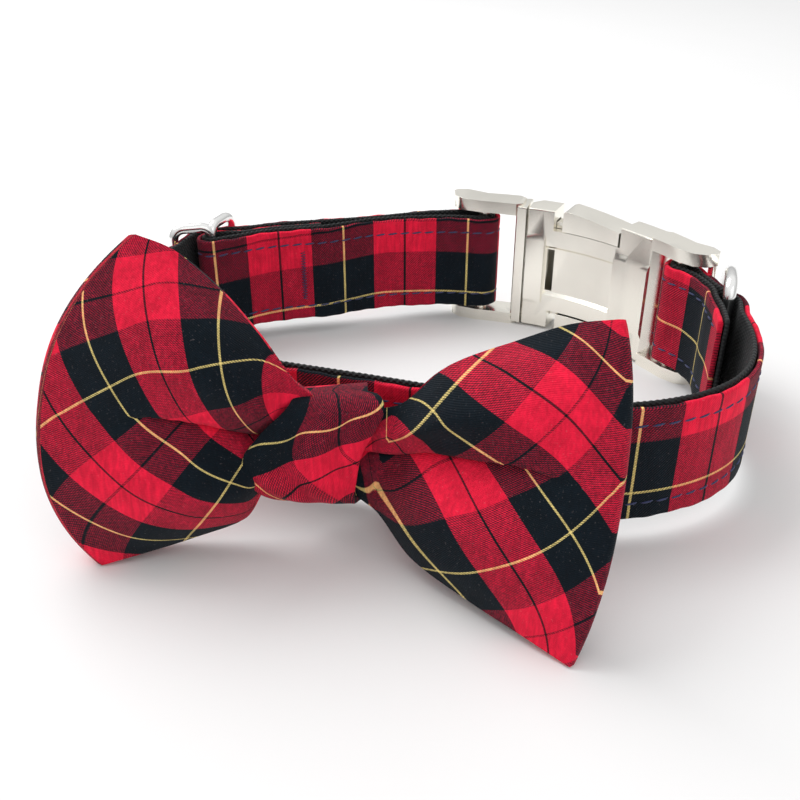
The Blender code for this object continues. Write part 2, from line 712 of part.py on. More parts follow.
def build_clip(loop, collection, cutters):
    """The buckle half with two spring arms, whose pads fill the socket's side windows."""
    at = buckle_reach()
    half = BUCKLE_BODY_HEIGHT / 2
    face = BUCKLE_THICKNESS / 2
    low = at["shoulder_low"]
    high = at["shoulder_high"]
    clip = plate("buckle_clip", [[(low, -face * 0.9), (high, -face * 0.75), (high, face * 0.8),
                                  (low, face)]], half, collection)
    clip.data.materials.append(material("bright nickel", (0.83, 0.82, 0.79), 0.20, 1.0))
    bevel(clip, SOCKET_FACE_STEP / 2, 2, 30)
    arm_top = half - BUCKLE_RAIL - CLEARANCE
    pad_low = at["pad_low"]
    pad_high = at["pad_high"]
    pad_foot = half - WINDOW_DEPTH + CLEARANCE
    pad_top = METAL_HEIGHT / 2
    arm_middle = (at["cavity_in"] + at["cavity_out"]) / 2
    for side, label in ((1, "upper"), (-1, "lower")):
        levels = sorted((side * (arm_top - ARM_THICKNESS), side * arm_top))
        arm = box(f"{label}_arm", (pad_low + PAD_TAPER, low + CLIP_SHOULDER / 2),
                  (arm_middle - ARM_DEPTH / 2, arm_middle + ARM_DEPTH / 2), levels, cutters)
        boolean(clip, arm, "UNION", cutters)
        outline = [(pad_low, pad_foot), (pad_high, pad_foot), (pad_high, pad_top - PAD_TAPER / 4),
                   (pad_high - PAD_TAPER / 2, pad_top), (pad_low, pad_top - PAD_TAPER)]
        pad = plate(f"{label}_pad", [[(x, side * z) for x, z in outline]],
                    face - SOCKET_FACE_STEP / 2, cutters)
        pad.data.transform(Matrix.Rotation(math.pi / 2, 4, "X"))
        boolean(clip, pad, "UNION", cutters)
    strap_frame("clip", high, 1, CLIP_REACH, CLIP_BAR_SETBACK, SPREAD_LENGTH, cutters, clip)
    wrap(clip, loop, SEAM_PLACE * loop.length)
    round_shading(clip, 30)
    return clip


def build_d_ring(loop, collection):
    """The lead ring: an upright bar between the strap's layers and a round bow outside them."""
    half = METAL_HEIGHT / 2 - D_RING_WIRE / 2
    points = []
    steps = 6
    for side in (1, -1):
        for i in range(steps + 1):
            angle = math.pi / 2 * (i / steps if side > 0 else 1 - i / steps)
            points.append((
                D_RING_CORNER * (1 - math.cos(angle)),
                side * (half - D_RING_CORNER * (1 - math.sin(angle))),
            ))
        if side > 0:
            turns = 16
            for i in range(turns + 1):
                angle = math.pi / 2 - math.pi * i / turns
                points.append((D_RING_SIDE + half * math.cos(angle), half * math.sin(angle)))
    wire = bpy.data.curves.new("d_ring", "CURVE")
    wire.dimensions = "3D"
    wire.bevel_depth = D_RING_WIRE / 2
    wire.bevel_resolution = 3
    wire.use_fill_caps = True
    spline = wire.splines.new("POLY")
    spline.points.add(len(points) - 1)
    for point, (x, z) in zip(spline.points, points):
        point.co = (x, 0.0, z, 1.0)
    spline.use_cyclic_u = True
    wire.materials.append(material("chromed wire", (0.86, 0.86, 0.86), 0.10, 1.0))
    ring = bpy.data.objects.new("d_ring", wire)
    collection.objects.link(ring)
    place = SEAM_PLACE * loop.length + buckle_reach()["socket_bar"] - D_RING_SETBACK
    way = loop.direction(place)
    ring.location = loop.point(place, 0.0, MIDDLE_HEIGHT)
    ring.rotation_euler = (0.0, 0.0, math.atan2(way[1], way[0]) - D_RING_SWING)
    return ring


def bow_row(place):
    """One row of the bow's table at a place between its named rows."""
    spots = range(len(BOW_ROWS))
    row = {}
    for column in BOW_ROWS[0]:
        if column != "name":
            row[column] = smooth(spots, [entry[column] for entry in BOW_ROWS], place)
    return row


def bow_section(place, front, levels):
    """The points up one section of the bow's front or back sheet, measured from the knot."""
    row = bow_row(place)
    top = Vector((row["along_top"] * BOW_LENGTH, -row["forward_top"] * BOW_LENGTH,
                  row["up_top"] * BOW_HEIGHT))
    foot = Vector((row["along_low"] * BOW_LENGTH, -row["forward_low"] * BOW_LENGTH,
                   row["up_low"] * BOW_HEIGHT))
    rise = (top - foot).normalized()
    lift = Vector((0.0, -rise.z, rise.y)).normalized()
    points = []
    for share in levels:
        spot = foot.lerp(top, share)
        spot.x += row["round_end"] * BOW_LENGTH * (1 - abs(2 * share - 1) ** BOW_END_SQUARENESS)
        if front:
            crease = row["crease_at"]
            push = smooth(
                (0.0, crease * 0.5, crease, (1 + crease) / 2, 1.0),
                (0.0, row["lower"], row["crease"], row["upper"], 0.0), share)
            spot += lift * push * BOW_LENGTH
        else:
            fall = smooth((0.0, 0.5, 1.0),
                          (row["back_low"], row["back_mid"], row["back_top"]), share)
            spot.y += fall * BOW_LENGTH
            spot.z += max(0.0, BOW_CLOTH - spot.z)
        points.append(spot)
    return points


def end_turn(front, back, way):
    """The rounded end of a wing, where the front sheet turns over into the back one."""
    sections = []
    for turn in (1, 2, 3):
        angle = math.pi * turn / 4
        section = []
        for near, far in zip(front, back):
            centre = (near + far) / 2
            reach = (near - far) / 2
            spot = centre + reach * math.cos(angle)
            spot.x += way * min(reach.length, BOW_END_BULGE) * math.sin(angle)
            section.append(spot)
        sections.append(section)
    return sections


def build_bow(centre, collection):
    """The bow: one band of doubled cloth, round both ends and pinched in the middle."""
    last = len(BOW_ROWS) - 1
    count = 30
    levels = [i / 8 for i in range(9)]
    front = [bow_section(last * i / count, True, levels) for i in range(count + 1)]
    back = [bow_section(last * i / count, False, levels) for i in range(count, -1, -1)]
    right = end_turn(front[-1], back[0], 1)
    left = end_turn(back[-1], front[0], -1)
    sections = front + right + back + left
    shape = bmesh.new()
    rings = []
    for section in sections:
        rings.append([shape.verts.new(spot + centre) for spot in section])
    for i in range(len(rings)):
        one = rings[i]
        two = rings[(i + 1) % len(rings)]
        for j in range(len(one) - 1):
            shape.faces.new((one[j], two[j], two[j + 1], one[j + 1]))
    mesh = bpy.data.meshes.new("bow_body")
    shape.to_mesh(mesh)
    shape.free()
    bow = new_object("bow_body", mesh, collection,
                     material("bow tartan", (0.45, 0.02, 0.04), 0.85))
    wall = bow.modifiers.new("cloth", "SOLIDIFY")
    wall.thickness = BOW_CLOTH
    wall.offset = -1.0
    round_shading(bow, 60)
    return bow


def build_knot(centre, slant, collection):
    """The band round the bow's middle: a closed loop of cloth, wide and crowned in front.

    slant is how far the strap behind it runs backwards for each length it runs to the right.
    """
    shape = bmesh.new()
    rings = []
    count = 28
    across = (-1.0, -0.6, 0.0, 0.6, 1.0)
    half_depth = KNOT_DEPTH / 2 - KNOT_CLOTH
    half_height = KNOT_HEIGHT / 2 - KNOT_CLOTH
    for i in range(count):
        angle = 2 * math.pi * i / count
        facing = max(0.0, -math.sin(angle))
        side_y = math.copysign(abs(math.sin(angle)) ** KNOT_CORNER, math.sin(angle))
        side_z = math.copysign(abs(math.cos(angle)) ** KNOT_CORNER, math.cos(angle))
        width = (KNOT_BACK_WIDTH + (KNOT_WIDTH - KNOT_BACK_WIDTH) * math.sqrt(facing)) / 2
        ring = []
        for share in across:
            crown = KNOT_CROWN * (1 - share * share) * facing
            along = width * share
            behind = along * slant * max(0.0, side_y)
            ring.append(shape.verts.new((
                along, (half_depth + crown) * side_y + behind, half_height * side_z)))
        rings.append(ring)
    for i in range(count):
        one = rings[i]
        two = rings[(i + 1) % count]
        for j in range(len(across) - 1):
            shape.faces.new((one[j], one[j + 1], two[j + 1], two[j]))
    mesh = bpy.data.meshes.new("bow_knot")
    shape.to_mesh(mesh)
    shape.free()
    knot = new_object("bow_knot", mesh, collection,
                      material("knot tartan", (0.45, 0.02, 0.04), 0.85))
    wall = knot.modifiers.new("cloth", "SOLIDIFY")
    wall.thickness = KNOT_CLOTH
    wall.offset = 1.0
    knot.location = centre
    knot.rotation_euler = (0.0, KNOT_LEAN, 0.0)
    round_shading(knot, 60)
    return knot


def build_tab(loop, place, collection):
    """The hidden tab between the knot and the strap."""
    inner = LAYER + STRAP_THICKNESS / 2 + CLEARANCE
    tab = box("bow_tab", (-TAB_WIDTH / 2, TAB_WIDTH / 2), (inner, inner + TAB_THICKNESS),
              (-TAB_HEIGHT / 2, TAB_HEIGHT / 2), collection)
    tab.data.materials.append(material("black tab", (0.012, 0.012, 0.014), 0.8))
    wrap(tab, loop, place)
    return tab


def stand_on_origin(parts):
    """Move the whole collar so that its box stands centred on the origin."""
    root = bpy.data.objects.new("dog_collar_root", None)
    bpy.context.scene.collection.objects.link(root)
    bpy.context.view_layer.update()
    view = bpy.context.evaluated_depsgraph_get()
    corners = []
    for part in parts:
        mesh = part.evaluated_get(view).to_mesh()
        for corner in mesh.vertices:
            corners.append(part.matrix_world @ corner.co)
        part.evaluated_get(view).to_mesh_clear()
        part.parent = root
    low = [min(corner[i] for corner in corners) for i in range(3)]
    high = [max(corner[i] for corner in corners) for i in range(3)]
    root.location = (-(low[0] + high[0]) / 2, -(low[1] + high[1]) / 2, -low[2])
    bpy.context.view_layer.update()


def main():
    clear_scene()
    collar = bpy.data.collections.new("dog_collar")
    cutters = bpy.data.collections.new("dog_collar_cutters")
    bpy.context.scene.collection.children.link(collar)
    bpy.context.scene.collection.children.link(cutters)
    loop = Loop()
    parts = build_strap(loop, collar)
    parts.append(build_slider(loop, collar))
    parts.append(build_socket(loop, collar, cutters))
    parts.append(build_clip(loop, collar, cutters))
    parts.append(build_d_ring(loop, collar))
    knot_place = KNOT_PLACE * loop.length
    tab_outer = LAYER + STRAP_THICKNESS / 2 + 3 * CLEARANCE + TAB_THICKNESS
    seat = loop.point(knot_place, tab_outer, 0.0)
    parts.append(build_bow(seat, collar))
    way = loop.direction(knot_place)
    knot_centre = seat + Vector((0.0, -KNOT_DEPTH / 2, KNOT_CENTRE_HEIGHT))
    parts.append(build_knot(knot_centre, way[1] / way[0], collar))
    parts.append(build_tab(loop, knot_place, collar))
    for tool in list(cutters.objects):
        bpy.data.objects.remove(tool, do_unlink=True)
    stand_on_origin(parts)


main()
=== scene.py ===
"""Dresses the bow tie dog collar: tartan cotton over black webbing, with nickel plated metal.

Lengths are in metres and +Z is up. The bow faces -Y and the buckle lies towards +X and +Y.
The strap and its metal are laid out on a flat chart first: s runs along the collar's middle
line, out is the distance outside that line, and the chart is then wrapped onto the loop.
"""

import math

import bmesh
import bpy
import numpy as np
from bpy.props import FloatProperty, FloatVectorProperty, PointerProperty
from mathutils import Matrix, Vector


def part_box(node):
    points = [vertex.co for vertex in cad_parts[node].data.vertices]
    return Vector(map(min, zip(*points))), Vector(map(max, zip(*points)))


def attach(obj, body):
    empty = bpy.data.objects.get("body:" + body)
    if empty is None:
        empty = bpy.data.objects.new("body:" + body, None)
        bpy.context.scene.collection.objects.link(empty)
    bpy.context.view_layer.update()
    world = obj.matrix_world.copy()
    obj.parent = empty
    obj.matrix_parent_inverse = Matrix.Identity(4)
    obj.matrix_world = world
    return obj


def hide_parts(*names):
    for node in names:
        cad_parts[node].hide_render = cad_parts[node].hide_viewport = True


bl_info = {
    "name": "Bow Tie Dog Collar",
    "version": (1, 0, 0),
    "blender": (4, 5, 0),
    "location": "3D View > Sidebar > Collar",
    "description": "Builds a bow tie dog collar in tartan cotton, black webbing and nickel",
    "category": "Add Mesh",
}

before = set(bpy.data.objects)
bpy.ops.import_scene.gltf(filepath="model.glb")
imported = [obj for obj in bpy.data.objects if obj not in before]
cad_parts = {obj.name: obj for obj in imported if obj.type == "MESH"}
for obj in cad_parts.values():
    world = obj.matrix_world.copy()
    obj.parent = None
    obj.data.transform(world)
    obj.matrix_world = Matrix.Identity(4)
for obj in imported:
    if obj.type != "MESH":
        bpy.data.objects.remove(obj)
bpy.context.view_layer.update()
BODY = "root"


def table(columns, *rows):
    """Rows of numbers, each under the names of the columns."""
    return tuple(dict(zip(columns, row)) for row in rows)


# Places on the loop, as shares of its length round from the middle of the front
SEAM_PLACE = 0.4545
SLIDER_PLACE = 0.6833

# How far the tartan is moved along and up the cover, in repeats, at places along the cover from
# its hidden sewn end; it is sewn on from lengths that meet inside the metal and behind the bow
TARTAN_SHIFTS = table(
    ("at", "warp", "weft"),
    (0.0, 0.0, -0.07),
    (0.07, 0.0, -0.07),
    (0.17, 0.0, 0.0),
    (0.24, 0.0, -0.02),
    (0.63, -0.03, 0.0),
    (0.74, 0.28, 0.04),
    (0.905, 0.28, 0.05),
    (0.915, 0.0, 0.16),
    (1.0, 0.0, 0.16),
)

# The loop's middle line seen from above: across and deep are shares of half its length and depth
ROUTE = table(
    ("across", "deep"),
    (-0.052, -0.836),
    (0.561, -1.004),
    (0.879, -0.790),
    (0.994, -0.320),
    (0.920, 0.275),
    (0.636, 0.770),
    (0.160, 0.993),
    (-0.285, 0.885),
    (-0.630, 0.770),
    (-0.865, 0.480),
    (-1.004, 0.060),
    (-0.818, -0.390),
    (-0.324, -0.717),
)

# The bow's front sheet from its left end to its right end. along and forward are shares of the
# bow's length, measured from the knot, up is a share of its height, measured from the floor.
# round_end carries the middle of a row outwards; upper, crease and lower lift the sheet off the
# line between its edges; lip is how far the upper fold hangs over the lower one and sink how
# deep the cloth goes in behind it; back_* say how far behind that line the back sheet lies.
BOW_ROWS = table(
    ("name", "along_top", "forward_top", "up_top", "along_low", "forward_low", "up_low", "round_end",
     "upper", "crease", "lower", "crease_at", "lip", "sink", "back_top", "back_mid", "back_low"),
    ("left_end", -0.315, 0.010, 0.995, -0.420, 0.160, 0.0065, -0.124,
     0.020, 0.022, 0.020, 0.50, 0.0, 0.0, 0.030, 0.055, 0.060),
    ("left_outer", -0.262, 0.020, 0.965, -0.340, 0.148, 0.040, -0.045,
     0.062, 0.056, 0.060, 0.50, 0.0, 0.0, 0.040, 0.060, 0.065),
    ("left_middle", -0.192, 0.033, 0.865, -0.250, 0.128, 0.075, -0.010,
     0.096, 0.038, 0.080, 0.50, 0.10, 0.024, 0.040, 0.050, 0.055),
    ("left_inner", -0.126, 0.050, 0.730, -0.162, 0.108, 0.122, 0.0,
     0.068, -0.004, 0.048, 0.48, 0.16, 0.022, 0.036, 0.036, 0.042),
    ("left_pinch", -0.050, 0.072, 0.555, -0.108, 0.074, 0.225, 0.0,
     0.006, 0.000, 0.004, 0.48, 0.0, 0.002, 0.026, 0.030, 0.028),
    ("middle", 0.026, 0.072, 0.475, -0.010, 0.072, 0.215, 0.0,
     0.004, 0.000, 0.004, 0.48, 0.0, 0.0, 0.028, 0.030, 0.028),
    ("right_pinch", 0.108, 0.078, 0.500, 0.062, 0.086, 0.140, 0.0,
     0.016, -0.004, 0.010, 0.50, 0.06, 0.026, 0.028, 0.030, 0.030),
    ("right_inner", 0.200, 0.094, 0.655, 0.136, 0.190, 0.078, 0.0,
     0.060, -0.016, 0.046, 0.55, 0.16, 0.040, 0.028, 0.050, 0.075),
    ("right_middle", 0.302, 0.115, 0.750, 0.226, 0.272, 0.046, 0.006,
     0.080, 0.024, 0.066, 0.55, 0.06, 0.010, 0.028, 0.060, 0.080),
    ("right_outer", 0.392, 0.137, 0.825, 0.310, 0.345, 0.030, 0.020,
     0.058, 0.050, 0.055, 0.52, 0.0, 0.0, 0.028, 0.060, 0.075),
    ("right_end", 0.455, 0.158, 0.855, 0.386, 0.406, 0.0065, 0.034,
     0.018, 0.018, 0.018, 0.50, 0.0, 0.0, 0.026, 0.050, 0.075),
)

# How many repeats of the tartan, warp and weft, are counted off at places along the bow and at
# three levels up its front: low, middle and top
BOW_TARTAN = table(
    ("row", "warp", "weft"),
    (0, (2.90, 2.05, 1.15), (1.10, 0.40, -0.35)),
    (2, (2.50, 1.10, 0.55), (1.55, 0.95, -0.05)),
    (4, (1.85, 0.35, 0.15), (1.90, 1.50, 0.65)),
    (6, (1.50, 1.35, 0.65), (0.20, -0.35, -0.60)),
    (8, (1.50, 0.65, -0.25), (0.70, 0.05, -0.45)),
    (10, (0.80, 0.10, -0.85), (1.25, 0.55, 0.05)),
)

# The knot's front at five heights, from its foot to its top: its two edges as shares of its
# width, measured from the middle of the tab
KNOT_EDGES = table(
    ("height", "left", "right"),
    (-1.0, -0.52, 0.14),
    (-0.6, -0.72, 0.17),
    (0.0, -0.82, 0.21),
    (0.5, -0.66, 0.32),
    (1.0, -0.36, 0.52),
)

# The tartan counted off on the knot at three heights, each at its left, middle and right
KNOT_TARTAN = table(
    ("height", "warp", "weft"),
    ("foot", (0.95, 1.20, 1.35), (0.45, 0.65, 0.82)),
    ("middle", (0.62, 0.83, 1.00), (0.49, 0.78, 1.02)),
    ("top", (0.28, 0.32, 0.48), (0.62, 1.00, 1.25)),
)

# The two large soft lamps; their strengths are among the stage's sizes
LAMPS = table(
    ("name", "size", "place"),
    ("key", 0.5, (-0.35, 0.30, 0.60)),
    ("fill", 0.6, (0.30, -0.50, 0.35)),
)


def node_size(name):
    """How long, deep and high a solid of the frame is."""
    low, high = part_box(name)
    return high - low


def length(name, description, default):
    """A size that a user may change."""
    return FloatProperty(name=name, description=description, default=default, min=0.0,
                         unit="LENGTH", precision=5)


def angle(name, description, degrees):
    """An angle that a user may change."""
    return FloatProperty(name=name, description=description, default=math.radians(degrees),
                         subtype="ANGLE", unit="ROTATION")


def share(name, description, default):
    """A plain number that a user may change."""
    return FloatProperty(name=name, description=description, default=default, subtype="FACTOR")


def colour(name, description, default):
    """A colour that a user may change."""
    return FloatVectorProperty(name=name, description=description, default=default, size=3,
                               min=0.0, max=1.0, subtype="COLOR")


class CollarSizes(bpy.types.PropertyGroup):
    """The sizes of the strap and its metal."""

    loop_length: length("Loop length", "Length of the strap's middle line seen from above", 0.132)
    loop_depth: length("Loop depth", "Depth of the strap's middle line seen from above", 0.0935)
    strap_width: length("Strap width", "Width of the webbing", node_size("strap_webbing").z)
    webbing: length("Webbing thickness", "Thickness of the black webbing", 0.0010)
    rib: length("Rib", "Distance from one rib of the webbing to the next", 0.0012)
    yarn: length("Yarn", "Distance from one yarn of the webbing to the next", 0.0009)
    edge_loop: length("Edge loop", "Depth of the gaps between the loops at its edges", 0.00007)
    cover: length("Cover thickness", "Thickness of the tartan cover", 0.0010)
    cover_width: length("Cover width", "Width of the tartan cover", node_size("strap_cover").z)
    clearance: length("Clearance", "Gap between pieces that touch", 0.0003)
    sewn_end: length("Sewn end", "Length of the strap end that is sewn down beside the slider", 0.028)
    spread: length("Spread", "Length over which two layers of strap part at the buckle", 0.026)
    free_end: length("Free end", "Length of the strap end beside the lead ring", 0.0305)
    free_end_stand_off: length("Free end stand off", "How far the free end stands inwards", 0.0012)
    stitch_inset: length("Stitch inset", "Distance of the seams from the cover's edge", 0.0036)
    seam_reach: length("Seam reach", "How far beside a seam the cover is pulled in", 0.0007)
    seam_dent: length("Seam dent", "How far the cover is pulled in at a seam", 0.00016)
    stitch_pitch: length("Stitch pitch", "Distance from one stitch to the next", 0.0031)
    stitch_share: share("Stitch share", "Length of a stitch as a share of the pitch", 0.78)
    thread: length("Thread", "Thickness of the sewing thread", 0.00042)
    bar_place: length("Bar of stitches", "Where the sewn end is held down along the cover", 0.0593)
    bar_width: length("Bar width", "Width of the bar of stitches", 0.0010)
    bar_inset: length("Bar inset", "Distance of the bar's ends from the seams", 0.0020)
    metal_height: length("Metal height", "Height of the buckle and the lead ring",
                         node_size("d_ring").z)
    slider_spacing: length("Slider bar spacing", "Distance between the slider's bars", 0.0100)
    slider_fold: angle("Slider fold", "How far the slider's outer bars stand out", 33)
    slider_height: length("Slider height", "Height of the slider", node_size("slider").z)
    slider_wire: length("Slider wire", "Thickness of the slider's wire", 0.0024)
    slider_lobe: length("Slider lobe", "Radius of the slider's corners", 0.0025)
    buckle_bar: length("Buckle bar", "Thickness of the bars that the strap turns round", 0.0032)
    buckle_edge: length("Buckle edge", "Radius of the buckle's eased edges", 0.0004)
    clip_bar: length("Clip bar", "Distance of the clip's bar from the seam", 0.01165)
    socket_bar: length("Socket bar", "Distance of the socket's bar from the seam", 0.04395)
    ring_wire: length("Ring wire", "Thickness of the lead ring's wire", 0.0028)
    ring_side: length("Ring side", "Length of the ring's straight sides", 0.0050)
    ring_corner: length("Ring corner", "Radius of the ring's corners", 0.0035)
    ring_setback: length("Ring setback", "Distance of the ring from the socket's bar", 0.0195)
    ring_swing: angle("Ring swing", "How far the ring is turned off the strap", 22)


class BowSizes(bpy.types.PropertyGroup):
    """The sizes of the bow and its knot."""

    bow_length: length("Bow length", "Length that the bow's table is a share of", 0.100)
    bow_height: length("Bow height", "Height that the bow's table is a share of", 0.058)
    cloth: length("Bow cloth", "Thickness of the bow's doubled cloth", 0.0012)
    end_squareness: share("End squareness", "How square the wings' ends are", 2.4)
    end_bulge: length("End bulge", "How far the cloth bulges at the wings' ends", 0.0016)
    back_drop: share("Back drop", "How far the back sheet's top lies below the front's", 0.6)
    gathers: length("Gathers", "Depth of the small gathers beside the knot", 0.0005)
    gather_count: share("Gather count", "How many gathers lie above each other", 4.5)
    gather_reach: share("Gather reach", "How many rows of the bow the gathers reach", 2.2)
    knot_width: length("Knot width", "Width of the knot in front", 0.0195)
    knot_height: length("Knot height", "Height of the knot", 0.0225)
    knot_depth: length("Knot depth", "Depth of the knot", 0.0110)
    knot_cloth: length("Knot cloth", "Thickness of the knot's cloth", 0.0016)
    knot_crown: length("Knot crown", "How far the middle of the knot bulges forwards", 0.0012)
    knot_back: length("Knot back", "Width of the knot at the back", 0.0121)
    knot_corner: share("Knot corner", "How square the knot is seen from its side", 0.55)
    knot_pleat: length("Knot pleats", "Depth of the knot's soft pleats", 0.0004)
    knot_slant: share("Knot slant", "How far the knot's back follows the slant of its tab", 0.6)
    knot_droop: share("Knot droop", "How far the knot's foot slopes", 0.10)
    knot_lean_forward: share("Knot lean", "How far the knot's left side stands forwards", 0.10)
    knot_up: length("Knot centre", "Height of the knot's centre", 0.0195)


class TartanLook(bpy.types.PropertyGroup):
    """The tartan's colours and repeats."""

    red: colour("Red", "Colour of the red threads", (0.84, 0.012, 0.050))
    dark: colour("Dark", "Colour of the dark threads", (0.0025, 0.007, 0.012))
    line: colour("Thin line", "Colour of the thin lines in the red bands", (0.004, 0.005, 0.008))
    yellow: colour("Yellow", "Colour of the yellow lines", (0.98, 0.76, 0.26))
    lint: colour("Lint", "Colour of the lint on the cloth", (0.75, 0.62, 0.62))
    warp_repeat: length("Warp repeat", "Distance from one red warp band to the next", 0.0324)
    weft_repeat: length("Weft repeat", "Distance from one red weft band to the next", 0.0390)
    strap_start: share("Strap start", "Repeats counted off at the cover's hidden end", 0.35)
    warp_red: share("Warp red", "Half the red band as a share of the warp repeat", 0.25)
    weft_red: share("Weft red", "Half the red band as a share of the weft repeat", 0.218)
    line_width: length("Line width", "Width of the thin lines", 0.00054)
    twill: length("Twill pitch", "Distance from one twill ridge to the next", 0.00045)
    warp_cover: share("Warp cover", "Share of the face that the warp covers", 0.66)


class OtherLooks(bpy.types.PropertyGroup):
    """The colours of the webbing, the thread, the metal and the floor."""

    webbing: colour("Webbing", "Colour of the black webbing", (0.006, 0.007, 0.008))
    worn: colour("Worn webbing", "Colour of the webbing's worn yarns", (0.020, 0.022, 0.024))
    thread: colour("Thread", "Colour of the sewing thread", (0.018, 0.026, 0.085))
    nickel: colour("Nickel", "Colour of the buckle's satin plate", (0.92, 0.89, 0.81))
    chrome: colour("Polished plate", "Colour of the slider and the ring", (0.86, 0.86, 0.85))
    floor: colour("Floor", "Colour of the floor", (0.83, 0.83, 0.83))


class StageSizes(bpy.types.PropertyGroup):
    """Where the camera stands and how strong the lights are."""

    camera_across: FloatProperty(name="Camera across", description="The camera's place along X",
                                 default=-0.00583, unit="LENGTH", precision=5)
    camera_deep: FloatProperty(name="Camera depth", description="The camera's place along Y",
                               default=-0.17975, unit="LENGTH", precision=5)
    camera_up: length("Camera height", "The camera's height over the floor", 0.1173)
    camera_pitch: angle("Camera pitch", "How far the camera looks down", 31)
    lens: FloatProperty(name="Lens", description="Focal length in millimetres", default=44.3,
                        min=10.0)
    sky_rise: share("Sky rise", "How high over the horizon the sky reaches its full light", 0.75)
    horizon: share("Horizon", "How bright the horizon is against the sky overhead", 0.50)
    sky: share("Sky", "Strength of the light from all round", 0.93)
    key: share("Key light", "Strength of the large light in watts", 3.6)
    fill: share("Fill light", "Strength of the light from the front in watts", 0.4)


def sizes():
    """The sizes of the strap and its metal, as the user has set them."""
    return bpy.context.scene.collar_sizes


def bow_sizes():
    """The sizes of the bow and its knot."""
    return bpy.context.scene.collar_bow


def tartan_look():
    """The tartan's colours and repeats."""
    return bpy.context.scene.collar_tartan


def other_looks():
    """The colours of everything but the tartan."""
    return bpy.context.scene.collar_looks


class Finish:
    """A procedural material, with one short method for each kind of node that it uses."""

    def __init__(self, name):
        self.material = bpy.data.materials.new(name)
        self.material.use_nodes = True
        self.nodes = self.material.node_tree.nodes
        self.links = self.material.node_tree.links
        self.shader = self.nodes["Principled BSDF"]

    def feed(self, socket, value):
        """Link an output to an input, or give the input a plain value."""
        if isinstance(value, bpy.types.NodeSocket):
            self.links.new(value, socket)
        elif socket.type == "RGBA":
            socket.default_value = (*value[:3], 1.0)
        else:
            socket.default_value = value

    def set(self, name, value):
        """Give one of the shader's own inputs a value or an output."""
        self.feed(self.shader.inputs[name], value)

    def place(self):
        """The place on the object, in metres."""
        return self.nodes.new("ShaderNodeTexCoord").outputs["Object"]

    def cloth(self):
        """The two counts of the cloth's repeats, warp and weft."""
        layer = self.nodes.new("ShaderNodeUVMap")
        layer.uv_map = "cloth"
        parts = self.nodes.new("ShaderNodeSeparateXYZ")
        self.links.new(layer.outputs[0], parts.inputs[0])
        return parts.outputs[0], parts.outputs[1]

    def sum(self, operation, *values, clamp=False):
        """A sum of one to three values."""
        node = self.nodes.new("ShaderNodeMath")
        node.operation = operation
        node.use_clamp = clamp
        for socket, value in zip(node.inputs, values):
            self.feed(socket, value)
        return node.outputs[0]

    def ramp(self, value, low, high, from_value=0.0, to_value=1.0):
        """A smooth step from one value to another."""
        node = self.nodes.new("ShaderNodeMapRange")
        node.interpolation_type = "SMOOTHSTEP"
        for socket, number in zip(node.inputs, (value, low, high, from_value, to_value)):
            self.feed(socket, number)
        return node.outputs[0]

    def mix(self, part, one, two, blend="MIX"):
        """Two colours, mixed by a share of the second."""
        node = self.nodes.new("ShaderNodeMix")
        node.data_type = "RGBA"
        node.blend_type = blend
        self.feed(node.inputs[0], part)
        self.feed(node.inputs[6], one)
        self.feed(node.inputs[7], two)
        return node.outputs[2]

    def squared(self, shade):
        """A colour whose parts are each squared."""
        node = self.nodes.new("ShaderNodeGamma")
        self.links.new(shade, node.inputs[0])
        node.inputs[1].default_value = 2.0
        return node.outputs[0]

    def grey(self, light):
        """A grey as light as a value."""
        node = self.nodes.new("ShaderNodeCombineColor")
        for socket in node.inputs:
            self.links.new(light, socket)
        return node.outputs[0]

    def stretch(self, place, factors):
        """A place whose axes are each multiplied by a factor."""
        node = self.nodes.new("ShaderNodeVectorMath")
        node.operation = "MULTIPLY"
        self.links.new(place, node.inputs[0])
        node.inputs[1].default_value = factors
        return node.outputs[0]

    def noise(self, place, scale, detail=2.0):
        """Soft noise from 0 to 1."""
        node = self.nodes.new("ShaderNodeTexNoise")
        self.links.new(place, node.inputs["Vector"])
        node.inputs["Scale"].default_value = scale
        node.inputs["Detail"].default_value = detail
        return node.outputs[0]

    def bump(self, height, strength, distance):
        """Raise the surface by a height, under the shader."""
        node = self.nodes.new("ShaderNodeBump")
        node.inputs["Strength"].default_value = strength
        node.inputs["Distance"].default_value = distance
        self.links.new(height, node.inputs["Height"])
        self.links.new(node.outputs[0], self.shader.inputs["Normal"])


def thread_colours(finish, count, red_half, line_half, look):
    """One set of threads: its colour, how far a point is on a yellow line, and on a thin line.

    The colour is its square root here: dark threads shade the light ones that they lie among, so
    the two sets are mixed as roots, and the mixture is squared.
    """
    from_red = finish.sum("PINGPONG", count, 0.5)
    soft = line_half * 0.25
    dark = finish.ramp(from_red, red_half - soft, red_half + soft)
    thin = finish.ramp(from_red, line_half - soft, line_half + soft, 1.0, 0.0)
    yellow = finish.ramp(from_red, 0.5 - line_half - soft, 0.5 - line_half + soft)
    red, navy, line, gold = (tuple(math.sqrt(part) for part in tone)
                             for tone in (look.red, look.dark, look.line, look.yellow))
    shade = finish.mix(dark, red, navy)
    shade = finish.mix(thin, shade, line)
    shade = finish.mix(yellow, shade, gold)
    return shade, yellow, thin


